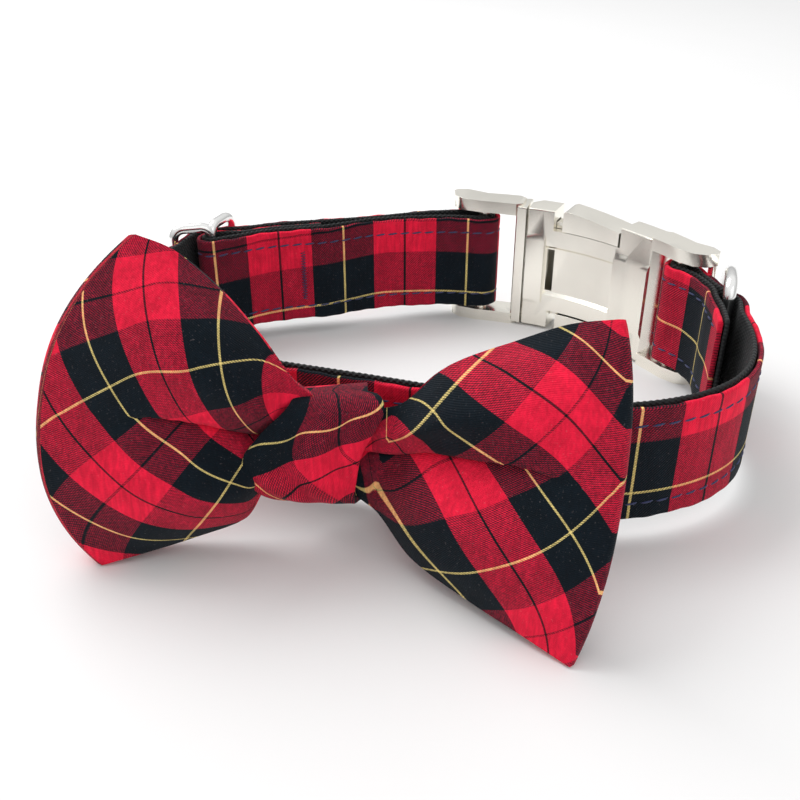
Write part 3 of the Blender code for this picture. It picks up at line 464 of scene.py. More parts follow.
def tartan(name):
    """Twilled tartan cotton: warp and weft bands that show through each other."""
    look = tartan_look()
    finish = Finish(name)
    warp_count, weft_count = finish.cloth()
    place = finish.place()
    warp, warp_yellow, warp_thin = thread_colours(
        finish, warp_count, look.warp_red, look.line_width / look.warp_repeat / 2, look)
    weft, weft_yellow, _ = thread_colours(
        finish, weft_count, look.weft_red, look.line_width / look.weft_repeat / 2, look)

    # The warp lies on top along slanting twill ridges, less where a weft yarn rises, and unevenly
    turn = 2 * math.pi / (look.twill * math.sqrt(2))
    drift = finish.sum("MULTIPLY", finish.noise(place, 240.0), 3.0)
    phase = finish.sum("MULTIPLY_ADD", warp_count, turn * look.warp_repeat, drift)
    phase = finish.sum("MULTIPLY_ADD", weft_count, turn * look.weft_repeat, phase)
    ridge = finish.sum("SINE", phase)
    yarn = finish.sum("SINE", finish.sum("MULTIPLY", weft_count, 1.7 * turn * look.weft_repeat))
    speckle = finish.noise(place, 2400.0, 1.0)
    on_top = finish.sum("MULTIPLY_ADD", ridge, 0.26, look.warp_cover - 0.30)
    on_top = finish.sum("MULTIPLY_ADD", yarn, 0.16, on_top)
    on_top = finish.sum("MULTIPLY_ADD", speckle, 0.60, on_top, clamp=True)

    # The warp's thin lines lie higher than the rest, and the weft's yellow lines show as dots
    raised = finish.sum("MAXIMUM", warp_yellow, finish.sum("MULTIPLY", warp_thin, 0.8))
    on_top = finish.sum("MAXIMUM", on_top, finish.sum("MULTIPLY", raised, 0.72))
    hidden = finish.sum("MULTIPLY", weft_yellow, 0.36)
    on_top = finish.sum("SUBTRACT", on_top, hidden, clamp=True)
    shade = finish.squared(finish.mix(on_top, weft, warp))

    # Uneven dye, thick and thin yarns, and a little pale lint
    uneven = finish.ramp(finish.noise(place, 260.0, 4.0), 0.3, 0.7, 0.86, 1.08)
    slub = finish.ramp(finish.noise(finish.stretch(place, (1.0, 1.0, 0.12)), 1600.0), 0.25, 0.75,
                       0.84, 1.12)
    light = finish.grey(finish.sum("MULTIPLY", uneven, slub))
    shade = finish.mix(1.0, shade, light, "MULTIPLY")
    lint = finish.ramp(finish.noise(place, 2600.0, 3.0), 0.62, 0.80, 0.0, 0.10)
    finish.set("Base Color", finish.mix(lint, shade, tuple(look.lint)))
    finish.set("Roughness", finish.ramp(ridge, -1.0, 1.0, 0.90, 0.76))
    finish.set("Sheen Weight", 0.05)
    finish.set("Sheen Roughness", 0.45)
    finish.set("Specular IOR Level", 0.15)
    fuzz = finish.sum("MULTIPLY_ADD", finish.noise(place, 3000.0, 3.0), 0.8, ridge)
    finish.bump(fuzz, 0.35, 0.00012)
    return finish.material


def webbing_finish():
    """Black nylon webbing with coarse ribs."""
    look = other_looks()
    finish = Finish("black webbing")
    along, across = finish.cloth()
    place = finish.place()
    rib = finish.sum("SINE", finish.sum("MULTIPLY", along, 2 * math.pi))
    yarn = finish.sum("SINE", finish.sum("MULTIPLY", across, 2 * math.pi))
    weave = finish.sum("MULTIPLY", rib, yarn)
    worn = finish.ramp(finish.noise(place, 900.0, 3.0), 0.45, 0.75, 0.0, 0.5)
    finish.set("Base Color", finish.mix(worn, tuple(look.webbing), tuple(look.worn)))
    finish.set("Roughness", finish.ramp(weave, -1.0, 1.0, 0.72, 0.5))
    finish.set("Sheen Weight", 0.05)
    finish.set("Specular IOR Level", 0.3)
    finish.bump(finish.sum("MULTIPLY_ADD", finish.noise(place, 2500.0), 0.7, weave), 0.6, 0.0002)
    return finish.material


def plain_cloth(name, shade, pitch):
    """A plain cloth or thread with a fine twist."""
    finish = Finish(name)
    place = finish.place()
    twist = finish.noise(finish.stretch(place, (1.0, 1.0, 2.5)), 1.0 / pitch, 3.0)
    light = finish.mix(finish.ramp(twist, 0.3, 0.7, 0.0, 0.5), tuple(shade),
                       tuple(min(1.0, part * 2.2 + 0.01) for part in shade))
    finish.set("Base Color", light)
    finish.set("Roughness", finish.ramp(twist, 0.2, 0.8, 0.8, 0.6))
    finish.set("Sheen Weight", 0.15)
    finish.bump(twist, 0.5, 0.0001)
    return finish.material


def plated(name, shade, roughness, grain):
    """Nickel plate: slightly uneven gloss, fine rubbing marks and brighter edges.

    roughness is the middle of the gloss, and grain how far the rubbing marks change it.
    """
    finish = Finish(name)
    finish.set("Metallic", 1.0)
    place = finish.place()
    rubbed = finish.noise(finish.stretch(place, (1.0, 1.0, 9.0)), 900.0, 4.0)
    cloud = finish.noise(place, 120.0, 3.0)
    geometry = finish.nodes.new("ShaderNodeNewGeometry")
    edge = finish.ramp(geometry.outputs["Pointiness"], 0.50, 0.56)
    dull = tuple(part * 0.93 for part in shade)
    light = finish.mix(finish.ramp(cloud, 0.3, 0.7), tuple(shade), dull)
    light = finish.mix(edge, light, tuple(min(1.0, part * 1.08) for part in shade))
    finish.set("Base Color", light)
    gloss = finish.sum("MULTIPLY_ADD", rubbed, grain, roughness - grain / 2)
    gloss = finish.sum("MULTIPLY_ADD", cloud, grain / 2, gloss)
    finish.set("Roughness", gloss)
    finish.bump(rubbed, 0.04, 0.00004)
    return finish.material


def floor_finish():
    """A pale matt floor with a faint unevenness."""
    finish = Finish("pale floor")
    finish.set("Roughness", 0.85)
    place = finish.place()
    pale = tuple(other_looks().floor)
    faint = tuple(part * 0.985 for part in pale)
    finish.set("Base Color", finish.mix(finish.noise(place, 30.0, 3.0), pale, faint))
    finish.bump(finish.noise(place, 700.0, 4.0), 0.04, 0.0003)
    return finish.material


def smooth(places, values, place):
    """Read a smooth curve through a table's values that never overshoots them."""
    places = np.asarray(places, dtype=float)
    values = np.asarray(values, dtype=float)
    gaps = np.diff(places)
    slopes = np.diff(values) / gaps
    tangents = np.zeros(len(places))
    for i in range(1, len(places) - 1):
        if slopes[i - 1] * slopes[i] > 0:
            tangents[i] = 2 * slopes[i - 1] * slopes[i] / (slopes[i - 1] + slopes[i])
    tangents[0] = slopes[0]
    tangents[-1] = slopes[-1]
    i = int(np.clip(np.searchsorted(places, place) - 1, 0, len(gaps) - 1))
    t = (place - places[i]) / gaps[i]
    return float(
        (2 * t ** 3 - 3 * t ** 2 + 1) * values[i]
        + (t ** 3 - 2 * t ** 2 + t) * gaps[i] * tangents[i]
        + (3 * t ** 2 - 2 * t ** 3) * values[i + 1]
        + (t ** 3 - t ** 2) * gaps[i] * tangents[i + 1]
    )


def closed_curve(points, count):
    """Sample the smooth closed curve through the given points, by a periodic cubic spline."""
    points = np.asarray(points, dtype=float)
    total = len(points)
    gaps = np.linalg.norm(np.roll(points, -1, axis=0) - points, axis=1)
    system = np.zeros((total, total))
    wanted = np.zeros((total, 2))
    for i in range(total):
        before = gaps[i - 1]
        after = gaps[i]
        system[i, i - 1] += before
        system[i, i] += 2 * (before + after)
        system[i, (i + 1) % total] += after
        wanted[i] = 6 * ((points[(i + 1) % total] - points[i]) / after
                         - (points[i] - points[i - 1]) / before)
    bends = np.linalg.solve(system, wanted)
    samples = []
    for i in range(total):
        j = (i + 1) % total
        gap = gaps[i]
        for k in range(count):
            right = k / count
            left = 1 - right
            samples.append(
                left * points[i] + right * points[j]
                + gap * gap / 6 * ((left ** 3 - left) * bends[i] + (right ** 3 - right) * bends[j])
            )
    return np.array(samples)


def reach_along(points):
    """How far along a line each of its points lies."""
    steps = np.linalg.norm(np.diff(points, axis=0), axis=1)
    return np.concatenate([[0.0], np.cumsum(steps)])


class Loop:
    """The collar's middle line, read by the distance s round it from the middle of the front."""

    step = 0.003

    def __init__(self):
        size = sizes()
        knots = []
        for row in ROUTE:
            knots.append((row["across"] * size.loop_length / 2, row["deep"] * size.loop_depth / 2))
        line = closed_curve(knots, 80)
        self.line = np.vstack([line, line[:1]])
        self.reach = reach_along(self.line)
        self.length = float(self.reach[-1])
        self.shift = np.zeros(2)
        self.shift = self.place_in_frame()

    def place_in_frame(self):
        """How far the whole loop is moved, so that the webbing lies where the frame's does."""
        size = sizes()
        stations = strap_stations(self)
        middle = -(strap_thickness() - size.webbing) / 2
        edges = []
        for side in (-1, 1):
            for s, out in beside(stations, middle + side * size.webbing / 2):
                edges.append(self.point(s, out, 0.0)[:2])
        edges = np.array(edges)
        low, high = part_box("strap_webbing")
        wanted = np.array([low.x + high.x, low.y + high.y]) / 2
        return wanted - (edges.min(axis=0) + edges.max(axis=0)) / 2

    def on_line(self, s):
        """The point of the middle line at distance s."""
        s = s % self.length
        return self.shift + np.array([
            np.interp(s, self.reach, self.line[:, 0]),
            np.interp(s, self.reach, self.line[:, 1]),
        ])

    def direction(self, s):
        """The way along the line at distance s."""
        chord = self.on_line(s + self.step / 2) - self.on_line(s - self.step / 2)
        return chord / np.linalg.norm(chord)

    def point(self, s, out, up):
        """The world point of a place on the flat chart."""
        way = self.direction(s)
        spot = self.on_line(s) + np.array([way[1], -way[0]]) * out
        return np.array([spot[0], spot[1], up])


def strap_thickness():
    """The thickness of the webbing and its cover, with the gap between them."""
    size = sizes()
    return size.webbing + size.clearance + size.cover


def run(stations, s, out):
    """Go straight on the chart to the next station, in short steps."""
    s_from, out_from = stations[-1]
    steps = max(int(math.ceil(abs(s - s_from) / Loop.step)), 1)
    for i in range(1, steps + 1):
        part = i / steps
        stations.append((s_from + (s - s_from) * part, out_from + (out - out_from) * part))


def fold(stations, s, radius, start, sweep):
    """Turn round a bar that stands at s on the middle line."""
    steps = 16
    for i in range(1, steps + 1):
        turn = start + sweep * i / steps
        stations.append((s + radius * math.cos(turn), radius * math.sin(turn)))


def strap_stations(loop):
    """The strap's middle surface on the chart, from its hidden sewn end to its free end."""
    size = sizes()
    step = Loop.step
    ramp = 2 * step
    thick = strap_thickness()
    layer = (thick + size.clearance) / 2
    slider_wrap = size.slider_wire / 2 + size.clearance + thick / 2
    arm = size.slider_spacing - size.slider_wire / 2
    slider_reach = size.slider_wire / 2 + arm * math.cos(size.slider_fold)
    slider_rise = arm * math.sin(size.slider_fold)
    buckle_wrap = size.buckle_bar / 2 + size.clearance + thick / 2
    slider = SLIDER_PLACE * loop.length
    clip = SEAM_PLACE * loop.length + size.clip_bar
    socket = SEAM_PLACE * loop.length - size.socket_bar + loop.length
    d_ring = socket - size.ring_setback
    crest = slider_wrap + thick + 2 * size.clearance
    slope = math.atan2(crest, slider_reach + step)
    under = slider_rise - slider_wrap / math.cos(slope)
    ring_spread = size.ring_wire / 2 + size.clearance / 2
    stations = [(slider - size.sewn_end, -layer)]
    run(stations, slider - slider_reach, -layer)
    run(stations, slider - step / 3, slider_wrap)
    stations.append((slider, slider_wrap))
    fold(stations, slider, slider_wrap, math.pi / 2, -math.pi)
    run(stations, slider - ramp, -3 * layer)
    run(stations, slider - size.sewn_end - size.clearance, -3 * layer)
    run(stations, slider - size.sewn_end - 2 * ramp, -layer)
    run(stations, clip + size.spread, -layer)
    run(stations, clip, -buckle_wrap)
    fold(stations, clip, buckle_wrap, -math.pi / 2, -math.pi)
    run(stations, clip + size.spread, layer)
    run(stations, slider - slider_reach - step, layer)
    run(stations, slider - slider_reach, under)
    run(stations, slider - step / 3, crest)
    run(stations, slider + step / 3, crest)
    run(stations, slider + slider_reach, under)
    run(stations, slider + slider_reach + step, layer)
    run(stations, d_ring - ramp, layer)
    run(stations, d_ring - step / 3, layer + ring_spread)
    run(stations, d_ring + step / 3, layer + ring_spread)
    run(stations, d_ring + ramp, layer)
    run(stations, socket - ramp, layer)
    run(stations, socket, buckle_wrap)
    fold(stations, socket, buckle_wrap, math.pi / 2, -math.pi)
    run(stations, socket - ramp, -layer)
    run(stations, d_ring + ramp, -layer)
    run(stations, d_ring + step / 3, -layer - ring_spread)
    run(stations, d_ring - step / 3, -layer - ring_spread)
    run(stations, socket - size.free_end, -layer - ring_spread - size.free_end_stand_off)
    return stations


def beside(stations, distance):
    """The line at a distance to the left of the stations, mitred at each bend."""
    line = np.array(stations)
    moved = []
    for i in range(len(line)):
        before = line[max(i, 1)] - line[max(i, 1) - 1]
        after = line[min(i + 1, len(line) - 1)] - line[min(i + 1, len(line) - 1) - 1]
        before = before / np.linalg.norm(before)
        after = after / np.linalg.norm(after)
        middle = before + after
        middle = middle / np.linalg.norm(middle)
        reach = distance / float(np.dot(middle, before))
        moved.append(line[i] + np.array([-middle[1], middle[0]]) * reach)
    return moved


def even_line(points, pitch, rounds):
    """A line's points again, evenly spaced, with its small kinks eased."""
    points = np.asarray(points, dtype=float)
    reach = reach_along(points)
    count = int(reach[-1] / pitch) + 1
    wanted = np.linspace(0.0, reach[-1], count)
    even = np.column_stack([np.interp(wanted, reach, points[:, i]) for i in range(2)])
    for _ in range(rounds):
        even[1:-1] = even[1:-1] * 0.5 + (even[:-2] + even[2:]) * 0.25
    return even


def sides_of(line):
    """The direction to the left of an even line at each of its points."""
    way = np.gradient(line, axis=0)
    way /= np.linalg.norm(way, axis=1)[:, None]
    return np.column_stack([-way[:, 1], way[:, 0]])


def link_piece(name, mesh, finish, replaces=()):
    """Put a finished mesh into the scene as one named piece of the collar."""
    piece = bpy.data.objects.new(name, mesh)
    bpy.context.scene.collection.objects.link(piece)
    mesh.materials.clear()
    mesh.materials.append(finish)
    mesh.shade_smooth()
    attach(piece, BODY)
    if replaces:
        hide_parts(*replaces)
    return piece


def grid_mesh(name, points, counts, ring_rows=False, ring_columns=False, capped=False):
    """A mesh from rows of points, each with its place on the cloth.

    Rows or columns may close into rings. counts has one more row, or one more column, than
    points where they close, so that the cloth's place runs on past the join.
    """
    rows, columns = points.shape[:2]
    corners = points.reshape(-1, 3).tolist()
    faces = []
    marks = []
    for i in range(rows if ring_rows else rows - 1):
        for j in range(columns if ring_columns else columns - 1):
            near = i * columns
            far = (i + 1) % rows * columns
            beyond = (j + 1) % columns
            faces.append((near + j, near + beyond, far + beyond, far + j))
            marks.append((counts[i, j], counts[i, j + 1], counts[i + 1, j + 1], counts[i + 1, j]))
    if capped:
        faces.append(tuple(range(columns - 1, -1, -1)))
        marks.append([counts[0, j] for j in range(columns - 1, -1, -1)])
        last = (rows - 1) * columns
        faces.append(tuple(range(last, last + columns)))
        marks.append([counts[rows - 1, j] for j in range(columns)])
    mesh = bpy.data.meshes.new(name)
    mesh.from_pydata(corners, [], faces)
    layer = mesh.uv_layers.new(name="cloth")
    flat = np.array([mark for face in marks for mark in face], dtype=np.float32)
    layer.data.foreach_set("uv", flat.ravel())
    mesh.validate()
    mesh.update()
    return mesh


def outward(mesh):
    """Turn all faces of a closed mesh outwards."""
    shape = bmesh.new()
    shape.from_mesh(mesh)
    bmesh.ops.recalc_face_normals(shape, faces=shape.faces)
    shape.to_mesh(mesh)
    shape.free()
    return mesh


def band_section(half_width, thickness, levels):
    """A flat band's outline with round edges, as sideways and upward distances."""
    radius = thickness / 2
    inner = half_width - radius
    turns = 6
    outline = [(radius, inner * level) for level in levels]
    for i in range(1, turns):
        turn = math.pi * i / turns
        outline.append((radius * math.cos(turn), inner + radius * math.sin(turn)))
    outline += [(-radius, inner * level) for level in reversed(levels)]
    for i in range(1, turns):
        turn = math.pi * i / turns
        outline.append((-radius * math.cos(turn), -inner - radius * math.sin(turn)))
    return np.array(outline)


def band(name, line, section, middle, shape, count):
    """Sweep an upright band along a line.

    shape(reach, side, up) gives the changed side and up; count(reach, up) the cloth's place.
    """
    left = sides_of(line)
    reach = reach_along(line)[:, None]
    side, up = shape(reach, section[None, :, 0], section[None, :, 1])
    points = np.zeros((len(line), len(section), 3))
    points[:, :, 0] = line[:, 0, None] + left[:, 0, None] * side
    points[:, :, 1] = line[:, 1, None] + left[:, 1, None] * side
    points[:, :, 2] = middle + up
    around = np.concatenate([section[:, 1], section[:1, 1]])
    warp, weft = np.broadcast_arrays(*count(reach, around[None, :]))
    counts = np.stack([warp, weft], axis=2)
    return outward(grid_mesh(name, points, counts, ring_columns=True, capped=True))


def threads(name, runs, radius):
    """Short rounded lengths of thread, each through a few points, as one mesh."""
    sides = 6
    corners = []
    faces = []
    for points in runs:
        points = np.asarray(points, dtype=float)
        way = np.gradient(points, axis=0)
        way /= np.linalg.norm(way, axis=1)[:, None]
        base = len(corners)
        last = len(points) - 1
        for i, (spot, ahead) in enumerate(zip(points, way)):
            across = np.cross(ahead, (0.31, 0.17, 0.93))
            across /= np.linalg.norm(across)
            above = np.cross(ahead, across)
            thick = radius * (0.55 if i in (0, last) else 1.0)
            for k in range(sides):
                turn = 2 * math.pi * k / sides
                corners.append(spot + thick * (math.cos(turn) * across + math.sin(turn) * above))
        for i in range(last):
            for k in range(sides):
                near = base + i * sides
                beyond = (k + 1) % sides
                faces.append((near + k, near + beyond, near + sides + beyond, near + sides + k))
        faces.append(tuple(base + k for k in range(sides - 1, -1, -1)))
        faces.append(tuple(base + last * sides + k for k in range(sides)))
    mesh = bpy.data.meshes.new(name)
    mesh.from_pydata([tuple(corner) for corner in corners], [], faces)
    mesh.update()
    return outward(mesh)


def wire_mesh(name, points, radius):
    """A closed round wire through points, as a mesh."""
    line = bpy.data.curves.new(name, "CURVE")
    line.dimensions = "3D"
    line.bevel_depth = radius
    line.bevel_resolution = 6
    spline = line.splines.new("POLY")
    spline.points.add(len(points) - 1)
    for target, spot in zip(spline.points, points):
        target.co = (*spot, 1.0)
    spline.use_cyclic_u = True
    holder = bpy.data.objects.new(name, line)
    bpy.context.scene.collection.objects.link(holder)
    view = bpy.context.evaluated_depsgraph_get()
    mesh = bpy.data.meshes.new_from_object(holder.evaluated_get(view))
    bpy.data.objects.remove(holder, do_unlink=True)
    bpy.data.curves.remove(line)
    return mesh


def joined(name, meshes):
    """Several meshes as one."""
    shape = bmesh.new()
    for mesh in meshes:
        shape.from_mesh(mesh)
    result = bpy.data.meshes.new(name)
    shape.to_mesh(result)
    shape.free()
    return result


def middle_height():
    """The height of the strap's middle over the floor."""
    return sizes().metal_height / 2


def cover_line(loop):
    """The middle of the tartan cover seen from above, evenly spaced."""
    size = sizes()
    side = (strap_thickness() - size.cover) / 2
    points = [loop.point(s, out, 0.0)[:2] for s, out in beside(strap_stations(loop), side)]
    return even_line(points, 0.0008, 4)


def build_cover(loop):
    """The tartan cover, sewn down along both its edges."""
    size = sizes()
    look = tartan_look()
    line = cover_line(loop)
    half = size.cover_width / 2
    seam = half - size.stitch_inset
    section = band_section(half, size.cover, [i / 18 - 1 for i in range(37)])

    def shape(reach, side, up):
        """Dent the outer face along the seams and let the edges waver a little."""
        near_seam = np.exp(-((np.abs(up) - seam) / size.seam_reach) ** 2)
        pull = 0.75 + 0.25 * np.cos(2 * math.pi * reach / size.stitch_pitch)
        dent = size.seam_dent * near_seam * pull
        edge = np.clip((np.abs(up) - seam) / (half - seam), 0.0, 1.0)
        wave = 0.00010 * np.sin(reach * 520.0 + up * 90.0) + 0.00008 * np.sin(reach * 1310.0)
        return side + dent * (side < 0), up * (1 + edge * wave / half)

    long = float(reach_along(line)[-1])
    places = [row["at"] * long for row in TARTAN_SHIFTS]

    def count(reach, up):
        """The repeats counted off along the cover, and down from its upper edge."""
        warp_shift, weft_shift = (
            np.interp(reach, places, [row[way] for row in TARTAN_SHIFTS])
            for way in ("warp", "weft"))
        return (reach / look.warp_repeat + look.strap_start + warp_shift,
                (half - up) / look.weft_repeat + weft_shift)

    mesh = band("strap_cover_cloth", line, section, middle_height(), shape, count)
    piece = link_piece("strap_cover_cloth", mesh, tartan("strap tartan"),
                       ["strap_cover"])
    return line


def build_webbing(loop):
    """The black webbing inside the cover, with ribbed faces and looped edges."""
    size = sizes()
    side = -(strap_thickness() - size.webbing) / 2
    points = [loop.point(s, out, 0.0)[:2] for s, out in beside(strap_stations(loop), side)]
    line = even_line(points, 0.0003, 20)
    half = size.strap_width / 2
    section = band_section(half, size.webbing, [-1.0, -0.9, -0.5, 0.0, 0.5, 0.9, 1.0])

    def shape(reach, side, up):
        """Rib both faces, and loop the weft round the edges."""
        wave = np.sin(2 * math.pi * reach / size.rib + np.sign(side) * 1.6)
        edge = np.abs(up) > half - size.webbing
        return (side * (0.95 + 0.05 * wave),
                up - np.sign(up) * size.edge_loop * edge * (1 - wave))

    def count(reach, up):
        """The ribs counted off along the webbing, and the yarns across it."""
        return reach / size.rib, up / size.yarn

    mesh = band("strap_webbing_band", line, section, middle_height(), shape, count)
    piece = link_piece("strap_webbing_band", mesh, webbing_finish(),
                       ["strap_webbing"])


def build_seams(line):
    """The rows of stitches along the cover, and the bar of stitches that holds its sewn end."""
    size = sizes()
    left = sides_of(line)
    reach = reach_along(line)
    level = size.cover_width / 2 - size.stitch_inset
    pitch = size.stitch_pitch

    def spot(at, up, sunk):
        """A point on the cover's outer face, or sunk below it."""
        out = size.cover / 2 - sunk
        return np.array([
            np.interp(at, reach, line[:, 0]) - np.interp(at, reach, left[:, 0]) * out,
            np.interp(at, reach, line[:, 1]) - np.interp(at, reach, left[:, 1]) * out,
            middle_height() + up,
        ])

    runs = []
    depths = (0.00022, 0.00008, 0.00006, 0.00008, 0.00022)
    slant = 0.00006
    for side in (-1, 1):
        for i in range(int(reach[-1] / pitch) - 1):
            stitch = []
            for k, sunk in enumerate(depths):
                at = (i + 0.3 + size.stitch_share * k / (len(depths) - 1)) * pitch
                stitch.append(spot(at, side * level + slant * (k - 2), sunk))
            runs.append(stitch)
    bar = []
    turns = 36
    for i in range(turns + 1):
        up = (2 * i / turns - 1) * (level - size.bar_inset)
        bar.append(spot(size.bar_place + size.bar_width / 2 * (-1) ** i, up, 0.0))
    runs.append(bar)
    mesh = threads("strap_seams", runs, size.thread / 2)
    link_piece("strap_seams", mesh, plain_cloth("navy thread", other_looks().thread, 0.0004))


def wrapped(loop, place, points):
    """Points laid out on the chart, as (along, out, up), wrapped onto the loop at a place."""
    return [loop.point(place + along, out, middle_height() + up) for along, out, up in points]


def rounded_rectangle(low, high, half_height, radius):
    """The outline of an upright rectangle with round corners."""
    steps = 10
    outline = []
    middle = (low + high) / 2
    half = (high - low) / 2
    for turn, (side, end) in enumerate(((1, 1), (-1, 1), (-1, -1), (1, -1))):
        for i in range(steps + 1):
            bend = math.pi / 2 * (turn + i / steps)
            outline.append((
                middle + side * (half - radius) + radius * math.cos(bend),
                end * (half_height - radius) + radius * math.sin(bend),
            ))
    return outline


def build_slider(loop):
    """The adjuster: two wire frames that share a middle bar and stand out from it."""
    size = sizes()
    wire = size.slider_wire / 2
    meshes = []
    for side in (-1, 1):
        outline = rounded_rectangle(0.0, size.slider_spacing - wire, size.slider_height / 2 - wire,
                                    size.slider_lobe)
        points = []
        for along, up in outline:
            points.append((side * along * math.cos(size.slider_fold),
                           along * math.sin(size.slider_fold), up))
        line = wrapped(loop, SLIDER_PLACE * loop.length, points)
        meshes.append(wire_mesh("slider_wire", line, wire))
    shine = plated("polished nickel", other_looks().chrome, 0.14, 0.08)
    link_piece("slider_frame", joined("slider_frame", meshes), shine, ["slider"])


def build_ring(loop):
    """The lead ring: an upright bar between the strap's layers and a round bow outside them."""
    size = sizes()
    half = size.metal_height / 2 - size.ring_wire / 2
    outline = []
    steps = 10
    for side in (1, -1):
        for i in range(steps + 1):
            turn = math.pi / 2 * (i / steps if side > 0 else 1 - i / steps)
            outline.append((
                size.ring_corner * (1 - math.cos(turn)),
                side * (half - size.ring_corner * (1 - math.sin(turn))),
            ))
        if side > 0:
            turns = 40
            for i in range(turns + 1):
                turn = math.pi / 2 - math.pi * i / turns
                outline.append((size.ring_side + half * math.cos(turn), half * math.sin(turn)))
    place = SEAM_PLACE * loop.length - size.socket_bar - size.ring_setback
    way = loop.direction(place)
    heading = math.atan2(way[1], way[0]) - size.ring_swing
    foot = loop.point(place, 0.0, middle_height())
    points = []
    for out, up in outline:
        points.append(foot + np.array([out * math.cos(heading), out * math.sin(heading), up]))
    mesh = wire_mesh("lead_ring", points, size.ring_wire / 2)
    shine = plated("polished ring plate", other_looks().chrome, 0.12, 0.06)
    link_piece("lead_ring", mesh, shine, ["d_ring"])


def dress_buckle():
    """Both halves of the buckle keep their solids, with eased edges and satin nickel."""
    for name, roughness in (("buckle_socket", 0.24), ("buckle_clip", 0.20)):
        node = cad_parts[name]
        satin = plated(f"{name} nickel", other_looks().nickel, roughness, 0.05)
        node.data.materials.clear()
        node.data.materials.append(satin)
        weld = node.modifiers.new("weld", "WELD")
        weld.merge_threshold = 0.00001
        ease = node.modifiers.new("eased edges", "BEVEL")
        ease.width = sizes().buckle_edge
        ease.segments = 3
        ease.limit_method = "ANGLE"
        ease.angle_limit = math.radians(35)
        node.data.shade_smooth()
        node.modifiers.new("even shading", "WEIGHTED_NORMAL")


def dress_tab():
    """The hidden tab keeps its solid, in plain black cloth."""
    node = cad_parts["bow_tab"]
    node.data.materials.clear()
    node.data.materials.append(plain_cloth("black tab cloth", other_looks().webbing, 0.0006))


def thicken(piece, cloth, hem_share, segments):
    """Give a sheet its thickness, outwards from its drawn face, and round its hems."""
    wall = piece.modifiers.new("cloth", "SOLIDIFY")
    wall.thickness = cloth
    wall.offset = 1.0
    hem = piece.modifiers.new("soft hems", "BEVEL")
    hem.width = cloth * hem_share
    hem.segments = segments
    hem.limit_method = "ANGLE"
    hem.angle_limit = math.radians(60)


def bow_seat():
    """The point on the floor under the middle of the bow, where its tables are measured from."""
    low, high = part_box("bow_tab")
    return np.array([(low.x + high.x) / 2, low.y - sizes().clearance, 0.0])


def bow_row(place):
    """One row of the bow's table at a place between its named rows."""
    spots = range(len(BOW_ROWS))
    row = {}
    for column in BOW_ROWS[0]:
        if column != "name":
            row[column] = smooth(spots, [entry[column] for entry in BOW_ROWS], place)
    return row


def through(points, count):
    """Sample a smooth open line through points, count times between each two."""
    points = np.asarray(points, dtype=float)
    ends = np.vstack([2 * points[0] - points[1], points, 2 * points[-1] - points[-2]])
    samples = []
    for i in range(1, len(ends) - 2):
        for k in range(count):
            t = k / count
            samples.append(0.5 * (
                2 * ends[i] + (ends[i + 1] - ends[i - 1]) * t
                + (2 * ends[i - 1] - 5 * ends[i] + 4 * ends[i + 1] - ends[i + 2]) * t ** 2
                + (3 * ends[i] - ends[i - 1] - 3 * ends[i + 1] + ends[i + 2]) * t ** 3))
    samples.append(points[-1])
    return np.array(samples)


def spread_evenly(points, count):
    """A line's points again, count of them and evenly spaced."""
    reach = reach_along(points)
    wanted = np.linspace(0.0, reach[-1], count)
    return np.column_stack([np.interp(wanted, reach, points[:, i])
                            for i in range(points.shape[1])])


def bow_section(place, front, count):
    """The points up one section of the bow's front or back sheet, measured from the knot."""
    size = bow_sizes()
    row = bow_row(place)
    long = size.bow_length
    top = np.array([row["along_top"] * long, -row["forward_top"] * long,
                    row["up_top"] * size.bow_height])
    foot = np.array([row["along_low"] * long, -row["forward_low"] * long,
                     row["up_low"] * size.bow_height])
    rise = (top - foot) / np.linalg.norm(top - foot)
    lift = np.array([0.0, -rise[2], rise[1]])
    lift /= np.linalg.norm(lift)
    if front:
        # Each point's share of the way up, and how far it is lifted off the straight line
        crease = row["crease_at"]
        lip = row["lip"]
        valley = row["crease"] - row["sink"]
        upper = row["upper"]
        lower = row["lower"]
        profile = [
            (0.0, 0.0),
            (crease * 0.22, lower * 0.62),
            (crease * 0.52, lower),
            (crease * 0.80, row["crease"] + (lower - row["crease"]) * 0.62),
            (crease - 0.02 + lip * 0.15, row["crease"]),
            (crease + lip * 0.65, valley),
            (crease + lip * 0.20, valley + (upper - valley) * 0.22),
            (crease + 0.02 - lip * 0.10, valley + (upper - valley) * 0.45),
            (crease + 0.10, valley + (upper - valley) * 0.76),
            ((1 + crease) / 2, upper),
            (1 - (1 - crease) * 0.20, upper * 0.60),
            (1.0, 0.0),
        ]
        profile = through(profile, 10)
        shares = profile[:, 0]
        pushes = profile[:, 1]
    else:
        shares = np.linspace(0.0, 1.0, 60)
        pushes = np.zeros(60)
    near_knot = math.exp(-((place - (len(BOW_ROWS) - 1) / 2) / size.gather_reach) ** 2)
    folds = np.sin(2 * math.pi * (size.gather_count * shares + 0.12 * place))
    pushes = pushes + folds * np.sin(math.pi * shares) * near_knot * size.gathers / long
    spots = foot + (top - foot) * shares[:, None] + lift * (pushes * long)[:, None]
    swell = 1 - np.abs(2 * np.clip(shares, 0.0, 1.0) - 1) ** size.end_squareness
    spots[:, 0] += row["round_end"] * long * swell
    if not front:
        for spot, level in zip(spots, shares):
            fall = smooth((0.0, 0.5, 1.0),
                          (row["back_low"], row["back_mid"], row["back_top"]), level)
            spot[1] += fall * long
            spot[2] -= size.back_drop * fall * long * level ** 4
            spot[2] += max(0.0, size.cloth - spot[2])
    return spread_evenly(spots, count)


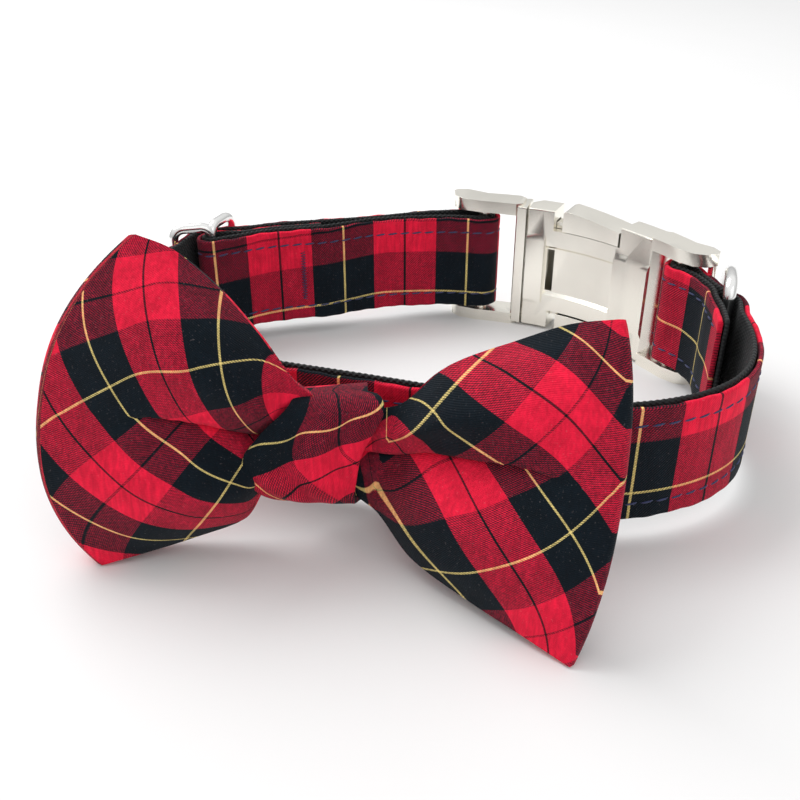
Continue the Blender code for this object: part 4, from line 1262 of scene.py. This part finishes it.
def through_three(values, place):
    """Read the smooth curve that passes three values, at 0, 0.5 and 1."""
    low, middle, high = values
    return (low * (1 - place) * (1 - 2 * place) + middle * 4 * place * (1 - place)
            + high * place * (2 * place - 1))


def bow_counts(place, level):
    """The tartan's warp and weft counts at a row of the bow and a level up its sheet.

    Past either end the cloth turns over into the back sheet, and the counts run on.
    """
    last = len(BOW_ROWS) - 1
    end = min(max(place, 0), last)
    if place != end:
        return 2 * bow_counts(end, level) - bow_counts(2 * end - place, level)
    left = BOW_TARTAN[2]["row"]
    right = BOW_TARTAN[3]["row"]
    counts = []
    for way in ("warp", "weft"):
        across = [through_three(entry[way], level) for entry in BOW_TARTAN]
        if place <= left:
            counts.append(through_three(across[:3], place / left))
        elif place >= right:
            counts.append(through_three(across[3:], (place - right) / (last - right)))
        else:
            part = (place - left) / (right - left)
            counts.append(across[2] + (across[3] - across[2]) * part)
    return np.array(counts)


def build_bow():
    """The bow: one band of doubled cloth, round both ends and pinched in the middle."""
    size = bow_sizes()
    last = len(BOW_ROWS) - 1
    columns = 120
    levels = 57
    turns = 6
    turn_rows = 0.03
    back_rows = 0.2
    places = np.linspace(0.0, last, columns)
    front = [bow_section(place, True, levels) for place in places]
    back = [bow_section(place, False, levels) for place in places[::-1]]
    rings = list(front)

    # marked holds where each ring counts its tartan: it runs on past the right end over the back
    marked = list(places)
    for one, two, way, place in ((front[-1], back[0], 1, last), (back[-1], front[0], -1, 0)):
        for turn in range(1, turns):
            bend = math.pi * turn / turns
            reach = (one - two) / 2
            ring = (one + two) / 2 + reach * math.cos(bend)
            wide = np.minimum(np.linalg.norm(reach, axis=1), size.end_bulge)
            ring[:, 0] += way * wide * math.sin(bend)
            rings.append(ring)
            marked.append(place + way * turn_rows * turn)
        if way > 0:
            rings += back
            marked += list(last + back_rows + places)
    marked.append(2 * last)
    counts = [[bow_counts(place, j / (levels - 1)) for j in range(levels)] for place in marked]
    points = np.array(rings) + bow_seat()
    mesh = grid_mesh("bow_wings", points, np.array(counts), ring_rows=True)
    wings = link_piece("bow_wings", mesh, tartan("bow tartan"), ["bow_body"])
    thicken(wings, size.cloth, 0.40, 3)


def knot_counts(level, height):
    """The tartan's warp and weft counts on the knot; past its top they run on evenly."""
    past_top = 0.45
    over = max(0.0, height - 1.0)
    up = (min(height, 1.0) + 1) / 2
    counts = []
    for way in ("warp", "weft"):
        across = [through_three(entry[way], (level + 1) / 2) for entry in KNOT_TARTAN]
        counts.append(through_three(across, up) - past_top * over)
    return counts


def build_knot():
    """The band round the bow's middle: a closed loop of cloth, wide and crowned in front."""
    size = bow_sizes()
    low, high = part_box("bow_tab")
    centre = bow_seat() + np.array([0.0, -size.knot_depth / 2, size.knot_up])
    slant = (high.y - low.y) / (high.x - low.x) * size.knot_slant
    rows = 112
    columns = 29
    half_depth = size.knot_depth / 2 - size.knot_cloth
    half_height = size.knot_height / 2 - size.knot_cloth
    pleats = 8.0
    pleat_slant = 2.6
    heights = [entry["height"] for entry in KNOT_EDGES]
    points = np.zeros((rows + 1, columns, 3))
    counts = np.zeros((rows + 1, columns, 2))
    for i in range(rows + 1):
        turn = 2 * math.pi * i / rows
        facing = max(0.0, -math.sin(turn))
        side_y = math.copysign(abs(math.sin(turn)) ** size.knot_corner, math.sin(turn))
        side_z = math.copysign(abs(math.cos(turn)) ** size.knot_corner, math.cos(turn))
        edges = []
        for side, name in ((-1, "left"), (1, "right")):
            front = smooth(heights, [entry[name] for entry in KNOT_EDGES], side_z)
            back = side * size.knot_back / 2
            edges.append(back + (front * size.knot_width - back) * facing ** 0.3)
        around = side_z if turn >= math.pi else 1.0 + 2 * turn / math.pi
        for j in range(columns):
            level = 2 * j / (columns - 1) - 1
            along = edges[0] + (edges[1] - edges[0]) * (level + 1) / 2
            crown = size.knot_crown * (1 - level * level) * facing
            pleat = size.knot_pleat * facing * (1 - level ** 4)
            pleat *= math.sin(pleats * level + pleat_slant * side_z)
            deep = (half_depth + crown + pleat) * side_y
            deep += along * (slant * max(0.0, side_y) + size.knot_lean_forward * facing)
            up = half_height * side_z - size.knot_droop * along * max(0.0, -side_z)
            points[i, j] = centre + np.array([along, deep, up])
            counts[i, j] = knot_counts(level, around)
    mesh = grid_mesh("bow_knot_band", points[:rows], counts, ring_rows=True)
    knot = link_piece("bow_knot_band", mesh, tartan("knot tartan"), ["bow_knot"])
    thicken(knot, size.knot_cloth, 0.42, 4)
    around = float(reach_along(points[:rows, columns // 2])[-1])


def build_stage():
    """The pale floor, the soft lights and the camera."""
    stage = bpy.context.scene.collar_stage
    shape = bmesh.new()
    bmesh.ops.create_grid(shape, x_segments=1, y_segments=1, size=3.0)
    mesh = bpy.data.meshes.new("floor")
    shape.to_mesh(mesh)
    shape.free()
    floor = bpy.data.objects.new("floor", mesh)
    mesh.materials.append(floor_finish())
    bpy.context.scene.collection.objects.link(floor)

    # The sky is brighter overhead than at the horizon, which gives the metal something to mirror
    world = bpy.data.worlds.new("studio")
    bpy.context.scene.world = world
    world.use_nodes = True
    nodes = world.node_tree.nodes
    links = world.node_tree.links
    sky = nodes["Background"]
    sky.inputs["Strength"].default_value = stage.sky
    way = nodes.new("ShaderNodeTexCoord")
    parts = nodes.new("ShaderNodeSeparateXYZ")
    rise = nodes.new("ShaderNodeMapRange")
    for name, number in (("From Min", 0.0), ("From Max", stage.sky_rise),
                         ("To Min", stage.horizon), ("To Max", 1.0)):
        rise.inputs[name].default_value = number
    links.new(way.outputs["Generated"], parts.inputs[0])
    links.new(parts.outputs[2], rise.inputs[0])
    links.new(rise.outputs[0], sky.inputs["Color"])
    bpy.context.scene.view_settings.view_transform = "Standard"

    for row in LAMPS:
        lamp = bpy.data.lights.new(row["name"], "AREA")
        lamp.energy = getattr(stage, row["name"])
        lamp.size = row["size"]
        light = bpy.data.objects.new(row["name"], lamp)
        light.location = row["place"]
        away = Vector((0.0, 0.0, 0.02)) - Vector(row["place"])
        light.rotation_euler = away.to_track_quat("-Z", "Y").to_euler()
        bpy.context.scene.collection.objects.link(light)

    lens = bpy.data.cameras.new("camera")
    lens.sensor_width = 36.0
    lens.lens = stage.lens
    lens.clip_start = 0.005
    camera = bpy.data.objects.new("camera", lens)
    camera.location = (stage.camera_across, stage.camera_deep, stage.camera_up)
    camera.rotation_euler = (math.pi / 2 - stage.camera_pitch, 0.0, 0.0)
    bpy.context.scene.collection.objects.link(camera)
    bpy.context.scene.camera = camera


class CollarOperator(bpy.types.Operator):
    """What all the collar's operators share."""

    bl_options = {"REGISTER", "UNDO"}

    def execute(self, context):
        self.build(context)
        return {"FINISHED"}


class COLLAR_OT_stage(CollarOperator):
    """Set up the floor, the lights and the camera"""

    bl_idname = "collar.stage"
    bl_label = "Stage"

    def build(self, context):
        build_stage()


class COLLAR_OT_strap(CollarOperator):
    """Build the webbing, its tartan cover and the seams"""

    bl_idname = "collar.strap"
    bl_label = "Strap"

    def build(self, context):
        loop = Loop()
        build_webbing(loop)
        line = build_cover(loop)
        build_seams(line)


class COLLAR_OT_metal(CollarOperator):
    """Build the slider and the lead ring, and finish the buckle"""

    bl_idname = "collar.metal"
    bl_label = "Metal"

    def build(self, context):
        loop = Loop()
        build_slider(loop)
        build_ring(loop)
        dress_buckle()


class COLLAR_OT_bow(CollarOperator):
    """Build the bow's wings, its knot and its tab"""

    bl_idname = "collar.bow"
    bl_label = "Bow"

    def build(self, context):
        build_bow()
        build_knot()
        dress_tab()


class COLLAR_PT_panel(bpy.types.Panel):
    """The collar's steps, in order"""

    bl_idname = "COLLAR_PT_panel"
    bl_label = "Dog Collar"
    bl_space_type = "VIEW_3D"
    bl_region_type = "UI"
    bl_category = "Collar"

    def draw(self, context):
        for step in STEPS:
            self.layout.operator(step.bl_idname)
        for group in GROUPS:
            self.layout.label(text=group.__doc__)
            held = getattr(context.scene, GROUPS[group])
            for name in group.__annotations__:
                self.layout.prop(held, name)


STEPS = (COLLAR_OT_stage, COLLAR_OT_strap, COLLAR_OT_metal, COLLAR_OT_bow)
GROUPS = {
    CollarSizes: "collar_sizes",
    BowSizes: "collar_bow",
    TartanLook: "collar_tartan",
    OtherLooks: "collar_looks",
    StageSizes: "collar_stage",
}


def register():
    for group, name in GROUPS.items():
        bpy.utils.register_class(group)
        setattr(bpy.types.Scene, name, PointerProperty(type=group))
    for step in STEPS:
        bpy.utils.register_class(step)
    bpy.utils.register_class(COLLAR_PT_panel)


def unregister():
    bpy.utils.unregister_class(COLLAR_PT_panel)
    for step in reversed(STEPS):
        bpy.utils.unregister_class(step)
    for group, name in GROUPS.items():
        delattr(bpy.types.Scene, name)
        bpy.utils.unregister_class(group)


def main():
    register()
    bpy.ops.collar.stage()
    bpy.ops.collar.strap()
    bpy.ops.collar.metal()
    bpy.ops.collar.bow()


if __name__ == "__main__":
    main()
